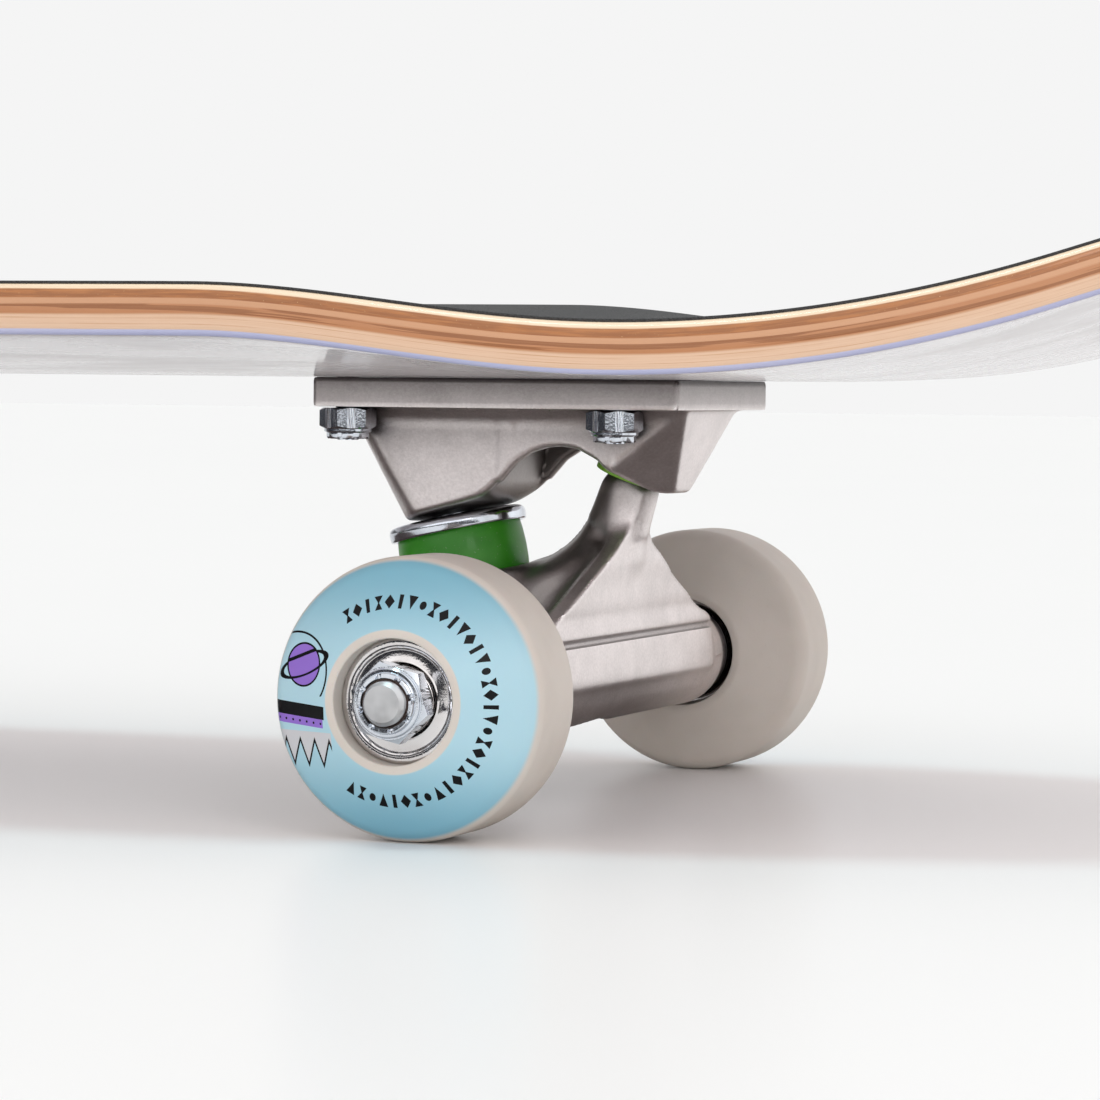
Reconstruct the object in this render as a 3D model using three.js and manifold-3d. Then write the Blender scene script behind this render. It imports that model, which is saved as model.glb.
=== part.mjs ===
// A double-kick street skateboard: a pressed maple deck with grip tape, two standard-kingpin trucks
// and four urethane wheels on ball bearings. Millimetres, +Z up, +X towards the nose, +Y to the
// rider's left. The origin is on the floor, under the middle of the deck.

import * as THREE from "three";
import { ConvexGeometry } from "three/addons/geometries/ConvexGeometry.js";
import { mergeVertices } from "three/addons/utils/BufferGeometryUtils.js";
import Module from "manifold-3d";

const wasm = await Module();
wasm.setup();

// ---- Driving dimensions ------------------------------------------------------------------------

const FIT_GAP = 0.3; // left between two pieces that touch or are cut to each other

// Wheels and bearings
const WHEEL_RADIUS = 25;
const WHEEL_HALF_WIDTH = 15.6;
const TREAD_HALF_WIDTH = 6.5;
const TREAD_CORNER_RADIUS = 4.6;
const HUB_RIM_RADIUS = 12.5;
const BEARING_RADIUS = 11;
const BEARING_WIDTH = 7;
const BEARING_OUTER_FACE = 12; // from the wheel's middle
const CORE_BORE_RADIUS = 9.6; // the wheel's shoulder between its two bearings
const WHEEL_OFFSET = 80.85; // from the board's middle line to a wheel's middle

// Axle and its fasteners
const AXLE_RADIUS = 4;
const AXLE_LENGTH = 203;
const SPEED_RING_RADIUS = 6.2;
const SPEED_RING_THICKNESS = 1;
const AXLE_NUT_ACROSS_FLATS = 12.7;

// Deck
const BOARD_LENGTH = 800;
const BOARD_WIDTH = 203;
const DECK_THICKNESS = 9;
const DECK_UNDERSIDE = 81; // the flat middle's underside above the floor
const GRIP_THICKNESS = 0.65;
const GRIP_LIFT = 0.15; // clear space under the grip tape
const GRIP_INSET = 0.6;
const NOSE_START = 212; // from here to the tip the outline narrows
const NOSE_POWER = 2.35;
const KICK_RADIUS = 240;
const KICK_ANGLE = THREE.MathUtils.degToRad(22);
const CONCAVE_RISE = 7.3; // of the rails over the flat middle
const CONCAVE_FLAT = 30; // half the width of the flat middle
const CONCAVE_POWER = 1.8;

// Trucks: a truck's own frame has its origin on the floor under its axle, +X towards the board's end
const BOLT_SPACING_X = 53.8;
const BOLT_SPACING_Y = 41.3;
const INNER_BOLT_X = -39.73;
const INNER_BOLT_BASE = 362; // between the inner bolts of the two trucks
const AXLE_X = INNER_BOLT_BASE / 2 - INNER_BOLT_X;
const KICK_START = 45; // in a truck's frame, where the deck starts to bend up
const PLATE_TOP = 80.7;
const PLATE_BOTTOM = 75.4;
const PLATE_BACK = -44.2;
const PLATE_FRONT = 29.2;
const PLATE_WIDTH = 56.8;
const PLATE_CORNER = 3;
const CHEEK = 15.5; // half the width of the casting under the plate

// Kingpin: its frame has its origin at the centre of the hanger's ring, +Z up along the pin
const RING_CENTRE = new THREE.Vector3(-21.6, 0, 37.5);
const KINGPIN_TILT = THREE.MathUtils.degToRad(-12.5);
const KINGPIN_RADIUS = 4.75;
const KINGPIN_HEAD_BASE = 34.5;
const KINGPIN_HEAD_TOP = 40;
const KINGPIN_LOWER_END = -25.2;
const KINGPIN_ACROSS_FLATS = 14.3;
const BUSHING_RADIUS = 12;
const WASHER_RADIUS = 13.5;
const BOSS_FACE = 17.3; // where the casting meets the upper washer, along the pin

// Pivot: its frame has its origin at the middle of the cup's mouth, +Z into the casting
const PIVOT_MOUTH = new THREE.Vector3(11.4, 0, 62.4);
const PIVOT_TILT = THREE.MathUtils.degToRad(19.6);
const PIVOT_BALL_DEPTH = 5.5;
const PIVOT_BALL_RADIUS = 5;
const CUP_INNER_RADIUS = 6.1;
const CUP_OUTER_RADIUS = 8;
const CUP_DEPTH = 12.5;

// Fasteners through the deck
const BOLT_RADIUS = 2.4;
const BOLT_HEAD_RADIUS = 4.6;
const BOLT_HEAD_CONE = 2.3;
const BOLT_NUT_ACROSS_FLATS = 9.5;
const BOLT_NUT_HEX = 3.9;
const BOLT_NUT_COLLAR = 2;
const BOLT_END = 1; // of thread below the nut

const WHEEL_ROUND = 28; // sides of a wheel
const ROUND = 20; // sides of a round piece
const SMALL_ROUND = 12;

// ---- Solids ------------------------------------------------------------------------------------

// The corners and triangles of a geometry, corners merged, flat triangles dropped, faces outwards.
function cleanMesh(geometry) {
  const bare = geometry.clone();
  bare.deleteAttribute("normal");
  bare.deleteAttribute("uv");
  const merged = mergeVertices(bare, 1e-4);
  const corners = new Float32Array(merged.attributes.position.array);
  const index = merged.index.array;
  const triangles = [];
  for (let i = 0; i < index.length; i += 3) {
    const [a, b, c] = [index[i], index[i + 1], index[i + 2]];
    if (a !== b && b !== c && c !== a) {
      triangles.push([a, b, c]);
    }
  }
  const at = (i) => new THREE.Vector3().fromArray(corners, i * 3);
  let volume = 0;
  for (const [a, b, c] of triangles) {
    volume += at(a).dot(at(b).cross(at(c)));
  }
  if (volume < 0) {
    triangles.forEach((triangle) => triangle.reverse());
  }
  return { corners, triangles: new Uint32Array(triangles.flat()) };
}

function solid(geometry, matrix) {
  const placed = matrix ? geometry.clone().applyMatrix4(matrix) : geometry;
  const { corners, triangles } = cleanMesh(placed);
  return new wasm.Manifold(new wasm.Mesh({ numProp: 3, vertProperties: corners, triVerts: triangles }));
}

function join(...solids) {
  return solids.reduce((whole, piece) => whole.add(piece));
}

function cut(whole, ...tools) {
  return tools.reduce((left, tool) => left.subtract(tool), whole);
}

// A three.js geometry of a solid, with flat shading.
function geometryOf(made) {
  const mesh = made.getMesh();
  const geometry = new THREE.BufferGeometry();
  geometry.setAttribute("position", new THREE.BufferAttribute(new Float32Array(mesh.vertProperties), 3));
  geometry.setIndex(new THREE.BufferAttribute(new Uint32Array(mesh.triVerts), 1));
  geometry.computeVertexNormals();
  return geometry;
}

// A profile of [radius, height] points turned about the Z axis. It starts and ends on the axis, or
// closes on itself.
function turned(profile, sides = ROUND) {
  const points = profile.map(([radius, height]) => new THREE.Vector2(radius, height));
  return new THREE.LatheGeometry(points, sides).rotateX(Math.PI / 2);
}

// A profile of [radius, height] points that closes on itself, turned about the Z axis.
function turnedRing(profile, sides = ROUND) {
  return turned([...profile, profile[0]], sides);
}

function disc(radius, low, high, sides = ROUND) {
  return turned([[0, low], [radius, low], [radius, high], [0, high]], sides);
}

function tube(inner, outer, low, high, sides = ROUND) {
  return turnedRing([[inner, low], [outer, low], [outer, high], [inner, high]], sides);
}

// A regular hexagon, carried up from low to high.
function hexagon(acrossFlats, low, high) {
  const radius = acrossFlats / Math.sqrt(3);
  const shape = new THREE.Shape();
  for (let i = 0; i < 6; i += 1) {
    const angle = (i * Math.PI) / 3;
    shape[i ? "lineTo" : "moveTo"](radius * Math.cos(angle), radius * Math.sin(angle));
  }
  shape.closePath();
  return new THREE.ExtrudeGeometry(shape, { depth: high - low, bevelEnabled: false }).translate(0, 0, low);
}

// A lock nut that stands on z = 0: a hexagon, a plain collar on it, and a bore through both.
function lockNut(acrossFlats, hexHeight, collarRadius, collarHeight, boreRadius) {
  const height = hexHeight + collarHeight;
  const body = join(
    solid(hexagon(acrossFlats, 0, hexHeight)),
    solid(disc(collarRadius, hexHeight / 2, height, SMALL_ROUND)),
  );
  return cut(body, solid(disc(boreRadius, -1, height + 1, SMALL_ROUND)));
}

// The smallest solid round some points, each given once and mirrored across the middle line.
function hull(points) {
  const both = points.flatMap(([x, y, z]) => [new THREE.Vector3(x, y, z), new THREE.Vector3(x, -y, z)]);
  return solid(new ConvexGeometry(both));
}

// A chain of hulls between neighbouring cross-sections, each a list of mirrored points.
function hullChain(sections) {
  const links = sections.slice(1).map((section, i) => hull([...sections[i], ...section]));
  return join(...links);
}

const turnY = (angle, at) =>
  new THREE.Matrix4().makeRotationY(angle).setPosition(at);
const KINGPIN_FRAME = turnY(KINGPIN_TILT, RING_CENTRE);
const PIVOT_FRAME = turnY(PIVOT_TILT, PIVOT_MOUTH);
const ALONG_Y = new THREE.Matrix4().makeRotationX(-Math.PI / 2);

// ---- Materials ---------------------------------------------------------------------------------

const look = (color, roughness, metalness = 0) =>
  () => new THREE.MeshStandardMaterial({ color, roughness, metalness });
const MAPLE = look(0xd9a268, 0.5);
const GRIP = look(0x26262a, 0.95);
const CAST_ALUMINIUM = look(0xa69c9a, 0.55, 0.8);
const ZINC_STEEL = look(0xc4c7cc, 0.25, 1);
const BEARING_STEEL = look(0xd0d2d6, 0.2, 1);
const BUSHING_GREEN = look(0x2c7a1c, 0.4);
const CUP_GREEN = look(0x7db245, 0.5);
const URETHANE = look(0xc9c1ba, 0.45);

const board = new THREE.Group();

function addNode(parent, name, shape, material, matrix) {
  const mesh = new THREE.Mesh(shape.isBufferGeometry ? geometryOf(solid(shape)) : geometryOf(shape), material());
  mesh.name = name;
  if (matrix) {
    mesh.applyMatrix4(matrix);
  }
  parent.add(mesh);
}

// ---- Deck and grip tape ------------------------------------------------------------------------

// Half the deck's width at a distance x from its middle: straight rails, then a superellipse.
// The stations run along the deck, close together where the outline and the kick turn.
const NOSE_STEPS = 8;
const MIDDLE_STEPS = 18;
const ACROSS_STEPS = 8;

function deckStations() {
  const stations = [];
  for (let i = 0; i <= MIDDLE_STEPS; i += 1) {
    const x = NOSE_START * (-1 + (2 * i) / MIDDLE_STEPS);
    stations.push({ x, halfWidth: BOARD_WIDTH / 2 });
  }
  for (let i = 1; i <= NOSE_STEPS; i += 1) {
    const angle = (i * Math.PI) / 2 / NOSE_STEPS;
    const reach = (BOARD_LENGTH / 2 - NOSE_START) * Math.sin(angle) ** (2 / NOSE_POWER);
    const halfWidth = i < NOSE_STEPS ? (BOARD_WIDTH / 2) * Math.cos(angle) ** (2 / NOSE_POWER) : 0;
    stations.push({ x: NOSE_START + reach, halfWidth });
    stations.unshift({ x: -NOSE_START - reach, halfWidth });
  }
  return stations;
}

// How far the deck's middle line has risen at x: an arc that starts the kick, then a straight.
function kickRise(x) {
  const run = Math.max(0, Math.abs(x) - AXLE_X - KICK_START);
  const arcRun = KICK_RADIUS * Math.sin(KICK_ANGLE);
  if (run < arcRun) {
    return KICK_RADIUS - Math.sqrt(KICK_RADIUS ** 2 - run ** 2);
  }
  return KICK_RADIUS * (1 - Math.cos(KICK_ANGLE)) + (run - arcRun) * Math.tan(KICK_ANGLE);
}

// How far the deck rises from its flat middle towards a rail: full between the trucks, almost
// nothing over the outer bolts, and a little again in the kick.
function concaveRise(x, y) {
  const fromAxle = Math.abs(x) - AXLE_X;
  const fade = THREE.MathUtils.smoothstep(-fromAxle, -38, 46);
  const kick = THREE.MathUtils.clamp((fromAxle - 38) / 80, 0, 1);
  const rail = 0.8 + (CONCAVE_RISE - 0.8) * fade + kick;
  const across = Math.max(0, Math.abs(y) - CONCAVE_FLAT) / (BOARD_WIDTH / 2 - CONCAVE_FLAT);
  return rail * across ** CONCAVE_POWER;
}

// A slab bent to the deck's form: low and high are heights over the deck's underside, and inset
// is how far its edge stays inside the deck's outline. Both faces have the same triangles, so a
// sheet laid over another one keeps the same distance everywhere.
function pressedSheet(low, high, inset) {
  const stations = deckStations();
  const last = stations.length - 1;
  const plane = new THREE.PlaneGeometry(1, 1, last, ACROSS_STEPS);
  const flat = plane.attributes.position;
  const corners = [];
  for (const height of [low, high]) {
    for (let i = 0; i < flat.count; i += 1) {
      const { x, halfWidth } = stations[Math.round((flat.getX(i) + 0.5) * last)];
      const along = x * (1 - (2 * inset) / BOARD_LENGTH);
      const across = 2 * flat.getY(i) * Math.max(0, halfWidth - inset);
      corners.push(along, across, DECK_UNDERSIDE + kickRise(along) + concaveRise(along, across) + height);
    }
  }
  const upper = flat.count;
  const faces = [];
  for (let i = 0; i < plane.index.count; i += 3) {
    const [a, b, c] = plane.index.array.slice(i, i + 3);
    faces.push(a + upper, b + upper, c + upper, c, b, a);
  }
  const row = last + 1;
  const rim = [];
  for (let i = 0; i < last; i += 1) {
    rim.push([i, i + 1], [i + 1 + ACROSS_STEPS * row, i + ACROSS_STEPS * row]);
  }
  for (let j = 0; j < ACROSS_STEPS; j += 1) {
    rim.push([last + j * row, last + (j + 1) * row], [(j + 1) * row, j * row]);
  }
  for (const [a, b] of rim) {
    faces.push(a, b + upper, b, a, a + upper, b + upper);
  }
  const sheet = new THREE.BufferGeometry();
  sheet.setAttribute("position", new THREE.Float32BufferAttribute(corners, 3));
  sheet.setIndex(faces);
  return solid(sheet);
}

const boltPlaces = [];
for (const side of [1, -1]) {
  for (const along of [INNER_BOLT_X, INNER_BOLT_X + BOLT_SPACING_X]) {
    for (const across of [-BOLT_SPACING_Y / 2, BOLT_SPACING_Y / 2]) {
      boltPlaces.push([side * (AXLE_X + along), across]);
    }
  }
}
const DECK_TOP = DECK_UNDERSIDE + DECK_THICKNESS;
const GRIP_TOP = DECK_TOP + GRIP_LIFT + GRIP_THICKNESS;

function boltHole(x, y) {
  const shank = BOLT_RADIUS + FIT_GAP;
  const head = BOLT_HEAD_RADIUS + FIT_GAP;
  const profile = [
    [0, DECK_UNDERSIDE - 2],
    [shank, DECK_UNDERSIDE - 2],
    [shank, DECK_TOP - BOLT_HEAD_CONE - FIT_GAP],
    [head, DECK_TOP - FIT_GAP],
    [head, DECK_TOP + 3],
    [0, DECK_TOP + 3],
  ];
  return solid(turned(profile, SMALL_ROUND).translate(x, y, 0));
}

const boltHoles = boltPlaces.map(([x, y]) => boltHole(x, y));
const gripTape = pressedSheet(DECK_THICKNESS + GRIP_LIFT, DECK_THICKNESS + GRIP_LIFT + GRIP_THICKNESS, GRIP_INSET);
addNode(board, "deck", cut(pressedSheet(0, DECK_THICKNESS, 0), ...boltHoles), MAPLE);
addNode(board, "grip_tape", cut(gripTape, ...boltHoles), GRIP);

// ---- Truck castings ----------------------------------------------------------------------------

// The baseplate's flat plate, with round corners.
function flatPlate() {
  const half = PLATE_WIDTH / 2;
  const r = PLATE_CORNER;
  const shape = new THREE.Shape();
  shape.moveTo(PLATE_BACK + r, -half);
  shape.lineTo(PLATE_FRONT - r, -half);
  shape.absarc(PLATE_FRONT - r, -half + r, r, -Math.PI / 2, 0);
  shape.absarc(PLATE_FRONT - r, half - r, r, 0, Math.PI / 2);
  shape.absarc(PLATE_BACK + r, half - r, r, Math.PI / 2, Math.PI);
  shape.absarc(PLATE_BACK + r, -half + r, r, Math.PI, 1.5 * Math.PI);
  const depth = PLATE_TOP - PLATE_BOTTOM;
  const plate = new THREE.ExtrudeGeometry(shape, { depth, bevelEnabled: false, curveSegments: 4 });
  return solid(plate.translate(0, 0, PLATE_BOTTOM));
}

// The baseplate: a wedge that carries the kingpin, an arch, and a tapered housing for the pivot.
function baseplate() {
  const top = PLATE_BOTTOM + 1;
  const wedge = hull([
    [PLATE_BACK + 0.6, CHEEK - 2, top], [PLATE_BACK + 4, CHEEK, top], [-8, CHEEK, top], [-8, CHEEK, 64.8],
    [-11.2, CHEEK, 61.2], [-14.6, CHEEK, 58.6], [-28.1, CHEEK, 54.6], [-31.7, 10, 53], [-14.6, 8, 56.8],
  ]);
  const arch = hullChain([
    [[-9, CHEEK, top], [-9, CHEEK, 64.2]],
    [[-4, CHEEK, top], [-4, CHEEK, 67.3]],
    [[0.7, CHEEK, top], [0.7, CHEEK, 68.2]],
    [[4.7, CHEEK, top], [4.7, CHEEK, 67.8]],
    [[10, CHEEK, top], [10, CHEEK, 64.7]],
  ]);
  const housing = hull([
    [9.4, CHEEK, top], [9.4, CHEEK, 65], [15.3, CHEEK, 62], [18.5, CHEEK, 61.6], [27.1, CHEEK, 67.5],
    [PLATE_FRONT - 0.1, CHEEK, top], [25.5, 11, 67.5], [22.2, 6.6, 60.3], [18, 7, 60.4], [12.5, 9, 62.4],
  ]);
  const pinBore = disc(KINGPIN_RADIUS + FIT_GAP, BOSS_FACE - 5, 60);
  const headPocket = disc(KINGPIN_ACROSS_FLATS / Math.sqrt(3) + FIT_GAP, KINGPIN_HEAD_BASE - FIT_GAP, 60);
  const cupPocket = disc(CUP_OUTER_RADIUS + FIT_GAP, -6, CUP_DEPTH + FIT_GAP);
  const belowMouth = disc(CUP_OUTER_RADIUS + 1.4, -8, 0);
  const holes = [INNER_BOLT_X, INNER_BOLT_X + BOLT_SPACING_X].flatMap((x) =>
    [-1, 1].map((side) =>
      solid(disc(BOLT_RADIUS + FIT_GAP, PLATE_BOTTOM - 2, PLATE_TOP + 2, SMALL_ROUND)
        .translate(x, (side * BOLT_SPACING_Y) / 2, 0))));
  return cut(
    join(flatPlate(), wedge, arch, housing),
    solid(pinBore, KINGPIN_FRAME),
    solid(headPocket, KINGPIN_FRAME),
    solid(cupPocket, PIVOT_FRAME),
    solid(belowMouth, PIVOT_FRAME),
    ...holes,
  );
}

// The plastic cup that the hanger's pivot turns in: a thimble with a rim at its mouth.
function pivotCup() {
  const wallTop = CUP_DEPTH - 1.6;
  return turned([
    [0, CUP_DEPTH], [CUP_OUTER_RADIUS - 1.5, CUP_DEPTH], [CUP_OUTER_RADIUS, CUP_DEPTH - 1.5],
    [CUP_OUTER_RADIUS, -0.3], [CUP_OUTER_RADIUS + 0.8, -0.3], [CUP_OUTER_RADIUS + 0.8, -1.3],
    [CUP_INNER_RADIUS, -1.3], [CUP_INNER_RADIUS, wallTop], [0, wallTop],
  ]);
}

// The hanger's ring, which the two bushings hold from above and below: a web with two lips.
const RING = { bore: 7.4, seat: 12.9, outer: 15.8, web: 3.4, lip: 5 };

function hangerRing() {
  const { bore, seat, outer, web, lip } = RING;
  return turnedRing([
    [bore, -web], [seat, -web], [seat, -lip], [outer - 1, -lip], [outer, -lip + 1],
    [outer, lip - 1], [outer - 1, lip], [seat, lip], [seat, web], [bore, web],
  ]);
}

// The hanger: a tube for the axle, a triangular web over it, a rib to the ring, and a neck with
// the pivot's ball at its end.
const HANGER_HALF_LENGTH = 67.85;
const HANGER_TUBE_RADIUS = 10.5;
const STEER_SWAY = 3.2;

function hanger() {
  const axleTube = disc(HANGER_TUBE_RADIUS, -HANGER_HALF_LENGTH, HANGER_HALF_LENGTH)
    .applyMatrix4(ALONG_Y)
    .translate(0, 0, WHEEL_RADIUS);
  const web = hullChain([
    [[12.8, 5, 54], [6, 5, 54]],
    [[11.9, 9.7, 50], [4, 8, 50]],
    [[10.8, 37, 38.4], [0, 34, 38.4]],
    [[10.4, 50, 32.5], [-5, 50, 31]],
    [[9, 58, 27], [-8, 56, 27]],
  ]);
  const rib = hullChain([
    [[3, 5, 55], [10, 5, 55]],
    [[-1.2, 6.5, 49.6], [8, 6.5, 49.6]],
    [[-7.4, 10, 45.6], [6, 10, 45.6]],
    [[-9.4, 11, 38], [4, 11, 36]],
    [[-10.6, 9, 33], [2, 9, 30]],
    [[-7, 8, 28], [0, 8, 25]],
  ]);
  const neck = turned([[0, -13], [6.6, -13], [5.4, -8], [4.9, -2], [4.4, 1.5], [3.8, PIVOT_BALL_DEPTH], [0, PIVOT_BALL_DEPTH]]);
  const ball = new THREE.SphereGeometry(PIVOT_BALL_RADIUS, SMALL_ROUND, 8).translate(0, 0, PIVOT_BALL_DEPTH);
  const pinRoom = disc(RING.bore, -12, 14);
  const seatAbove = disc(RING.seat, RING.web, 14);
  const seatBelow = disc(RING.seat, -RING.lip - 1, -RING.web);
  // The scoop behind the axle, where the lower washer and the nut sway as the truck steers.
  const scoop = [-STEER_SWAY, 0, STEER_SWAY].flatMap((sway) => [
    disc(12.5, -17.6, -RING.lip - 0.2).translate(0, sway, 0),
    disc(9.4, -32, -17).translate(0, sway, 0),
  ]);
  const axleBore = disc(AXLE_RADIUS + FIT_GAP, -HANGER_HALF_LENGTH - 1, HANGER_HALF_LENGTH + 1, SMALL_ROUND)
    .applyMatrix4(ALONG_Y)
    .translate(0, 0, WHEEL_RADIUS);
  return cut(
    join(
      solid(axleTube),
      web,
      rib,
      solid(hangerRing(), KINGPIN_FRAME),
      solid(neck, PIVOT_FRAME),
      solid(ball, PIVOT_FRAME),
    ),
    solid(pinRoom, KINGPIN_FRAME),
    solid(seatAbove, KINGPIN_FRAME),
    solid(seatBelow, KINGPIN_FRAME),
    ...scoop.map((tool) => solid(tool, KINGPIN_FRAME)),
    solid(axleBore),
  );
}

// ---- Kingpin stack, in the kingpin's frame -----------------------------------------------------

function kingpin() {
  return join(
    solid(disc(KINGPIN_RADIUS, KINGPIN_LOWER_END, KINGPIN_HEAD_BASE + 1)),
    solid(hexagon(KINGPIN_ACROSS_FLATS, KINGPIN_HEAD_BASE, KINGPIN_HEAD_TOP)),
  );
}

const PIN_HOLE = KINGPIN_RADIUS + FIT_GAP;
const UPPER_WASHER_FACE = BOSS_FACE - FIT_GAP;
const LOWER_WASHER_FACE = -15.1;

// A cup washer: a flat web whose edge is rolled over the end of a bushing.
function cupWasher(radius, webThickness, rimDepth) {
  return turnedRing([
    [PIN_HOLE, 0], [radius - 1.2, 0], [radius, -1.2], [radius - 0.2, -rimDepth], [radius - 1.2, -rimDepth],
    [radius - 1.3, -webThickness], [PIN_HOLE, -webThickness],
  ]);
}

function upperBushing() {
  const low = RING.web + FIT_GAP;
  const high = UPPER_WASHER_FACE - 1.5 - FIT_GAP;
  return turnedRing([
    [PIN_HOLE, low], [BUSHING_RADIUS, low], [BUSHING_RADIUS + 0.4, (low + high) / 2],
    [BUSHING_RADIUS - 0.1, high], [PIN_HOLE, high],
  ]);
}

function lowerBushing() {
  const high = -RING.web - FIT_GAP;
  const low = LOWER_WASHER_FACE + FIT_GAP;
  return turnedRing([
    [PIN_HOLE, low], [8.8, low], [8.9, low + 1.4], [11.6, (low + high) / 2], [BUSHING_RADIUS, high], [PIN_HOLE, high],
  ]);
}

// ---- Wheel and bearing, turned about Z here and laid along Y when placed ------------------------

function wheel() {
  const cornerEnd = THREE.MathUtils.degToRad(63);
  const cornerSteps = 2;
  const half = [[CORE_BORE_RADIUS, BEARING_OUTER_FACE - BEARING_WIDTH - FIT_GAP]];
  half.push([BEARING_RADIUS, BEARING_OUTER_FACE - BEARING_WIDTH - FIT_GAP]);
  half.push([BEARING_RADIUS, WHEEL_HALF_WIDTH]);
  half.push([HUB_RIM_RADIUS, WHEEL_HALF_WIDTH]);
  for (let i = cornerSteps; i >= 0; i -= 1) {
    const angle = (cornerEnd * i) / cornerSteps;
    half.push([
      WHEEL_RADIUS - TREAD_CORNER_RADIUS * (1 - Math.cos(angle)),
      TREAD_HALF_WIDTH + TREAD_CORNER_RADIUS * Math.sin(angle),
    ]);
  }
  const mirrored = half.map(([radius, height]) => [radius, -height]).reverse();
  return turnedRing([...half, ...mirrored], WHEEL_ROUND);
}

function bearing() {
  return tube(AXLE_RADIUS + FIT_GAP, BEARING_RADIUS - FIT_GAP, 0, BEARING_WIDTH);
}

// ---- Assembly ----------------------------------------------------------------------------------

function addWheel(truck, name, side) {
  const laid = new THREE.Group();
  laid.rotation.x = side > 0 ? -Math.PI / 2 : Math.PI / 2; // its +Z then points away from the board's middle
  laid.position.set(0, side * WHEEL_OFFSET, WHEEL_RADIUS);
  truck.add(laid);
  const raised = (height) => new THREE.Matrix4().makeTranslation(0, 0, height);
  const ringFace = BEARING_OUTER_FACE + FIT_GAP;
  const nutFace = ringFace + SPEED_RING_THICKNESS + FIT_GAP;
  const ring = tube(AXLE_RADIUS + FIT_GAP, SPEED_RING_RADIUS, 0, SPEED_RING_THICKNESS, SMALL_ROUND);
  const nut = lockNut(AXLE_NUT_ACROSS_FLATS, 4, 5.3, 1.7, AXLE_RADIUS + FIT_GAP);
  addNode(laid, `${name}_wheel`, wheel(), URETHANE);
  addNode(laid, `${name}_bearing_outer`, bearing(), BEARING_STEEL, raised(BEARING_OUTER_FACE - BEARING_WIDTH));
  addNode(laid, `${name}_bearing_inner`, bearing(), BEARING_STEEL, raised(-BEARING_OUTER_FACE));
  addNode(laid, `${name}_speed_ring`, ring, ZINC_STEEL, raised(ringFace));
  addNode(laid, `${name}_axle_nut`, nut, ZINC_STEEL, raised(nutFace));
}

function addDeckFastener(truck, name, x, y) {
  const nutFace = PLATE_BOTTOM - FIT_GAP;
  const boltEnd = nutFace - BOLT_NUT_HEX - BOLT_NUT_COLLAR - BOLT_END;
  const bolt = turned([
    [0, boltEnd], [BOLT_RADIUS, boltEnd], [BOLT_RADIUS, DECK_TOP - BOLT_HEAD_CONE],
    [BOLT_HEAD_RADIUS, DECK_TOP], [BOLT_HEAD_RADIUS, GRIP_TOP - 0.1], [0, GRIP_TOP - 0.1],
  ], SMALL_ROUND);
  const nut = lockNut(BOLT_NUT_ACROSS_FLATS, BOLT_NUT_HEX, 3.9, BOLT_NUT_COLLAR, BOLT_RADIUS + FIT_GAP);
  const hanging = new THREE.Matrix4().makeRotationX(Math.PI).setPosition(x, y, nutFace);
  addNode(truck, `${name}_bolt`, bolt, ZINC_STEEL, new THREE.Matrix4().makeTranslation(x, y, 0));
  addNode(truck, `${name}_lock_nut`, nut, ZINC_STEEL, hanging);
}

function addTruck(end, direction) {
  const truck = new THREE.Group();
  truck.position.x = direction * AXLE_X;
  truck.rotation.z = direction > 0 ? 0 : Math.PI;
  board.add(truck);

  addNode(truck, `${end}_baseplate`, baseplate(), CAST_ALUMINIUM);
  addNode(truck, `${end}_pivot_cup`, pivotCup(), CUP_GREEN, PIVOT_FRAME);
  addNode(truck, `${end}_hanger`, hanger(), CAST_ALUMINIUM);
  const axle = disc(AXLE_RADIUS, -AXLE_LENGTH / 2, AXLE_LENGTH / 2, SMALL_ROUND);
  const axlePlace = new THREE.Matrix4().makeTranslation(0, 0, WHEEL_RADIUS).multiply(ALONG_Y);
  addNode(truck, `${end}_axle`, axle, ZINC_STEEL, axlePlace);

  const stack = new THREE.Group();
  stack.applyMatrix4(KINGPIN_FRAME);
  truck.add(stack);
  const raised = (height) => new THREE.Matrix4().makeTranslation(0, 0, height);
  const facingUp = new THREE.Matrix4().makeRotationX(Math.PI);
  const nutFace = LOWER_WASHER_FACE - 1.5 - FIT_GAP - 0.3;
  const nut = lockNut(KINGPIN_ACROSS_FLATS, 5, 6.3, 1.8, KINGPIN_RADIUS + FIT_GAP);
  addNode(stack, `${end}_kingpin`, kingpin(), ZINC_STEEL);
  addNode(stack, `${end}_washer_upper`, cupWasher(WASHER_RADIUS, 1.5, 2.7), ZINC_STEEL, raised(UPPER_WASHER_FACE));
  addNode(stack, `${end}_bushing_upper`, upperBushing(), BUSHING_GREEN);
  addNode(stack, `${end}_bushing_lower`, lowerBushing(), BUSHING_GREEN);
  addNode(stack, `${end}_washer_lower`, cupWasher(10.6, 1.5, 2.3), ZINC_STEEL,
    raised(LOWER_WASHER_FACE - 1.5 - FIT_GAP).multiply(facingUp));
  addNode(stack, `${end}_kingpin_nut`, nut, ZINC_STEEL, raised(nutFace).multiply(facingUp));

  const places = { inner: INNER_BOLT_X, outer: INNER_BOLT_X + BOLT_SPACING_X };
  for (const hand of [1, -1]) {
    const side = hand * direction; // the truck's own +Y is the board's -Y on the rear truck
    const handName = hand > 0 ? "left" : "right";
    for (const [row, x] of Object.entries(places)) {
      addDeckFastener(truck, `${end}_${row}_${handName}`, x, (side * BOLT_SPACING_Y) / 2);
    }
    addWheel(truck, `${end}_${handName}`, side);
  }
}

addTruck("front", 1);
addTruck("rear", -1);

export default board;
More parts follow.
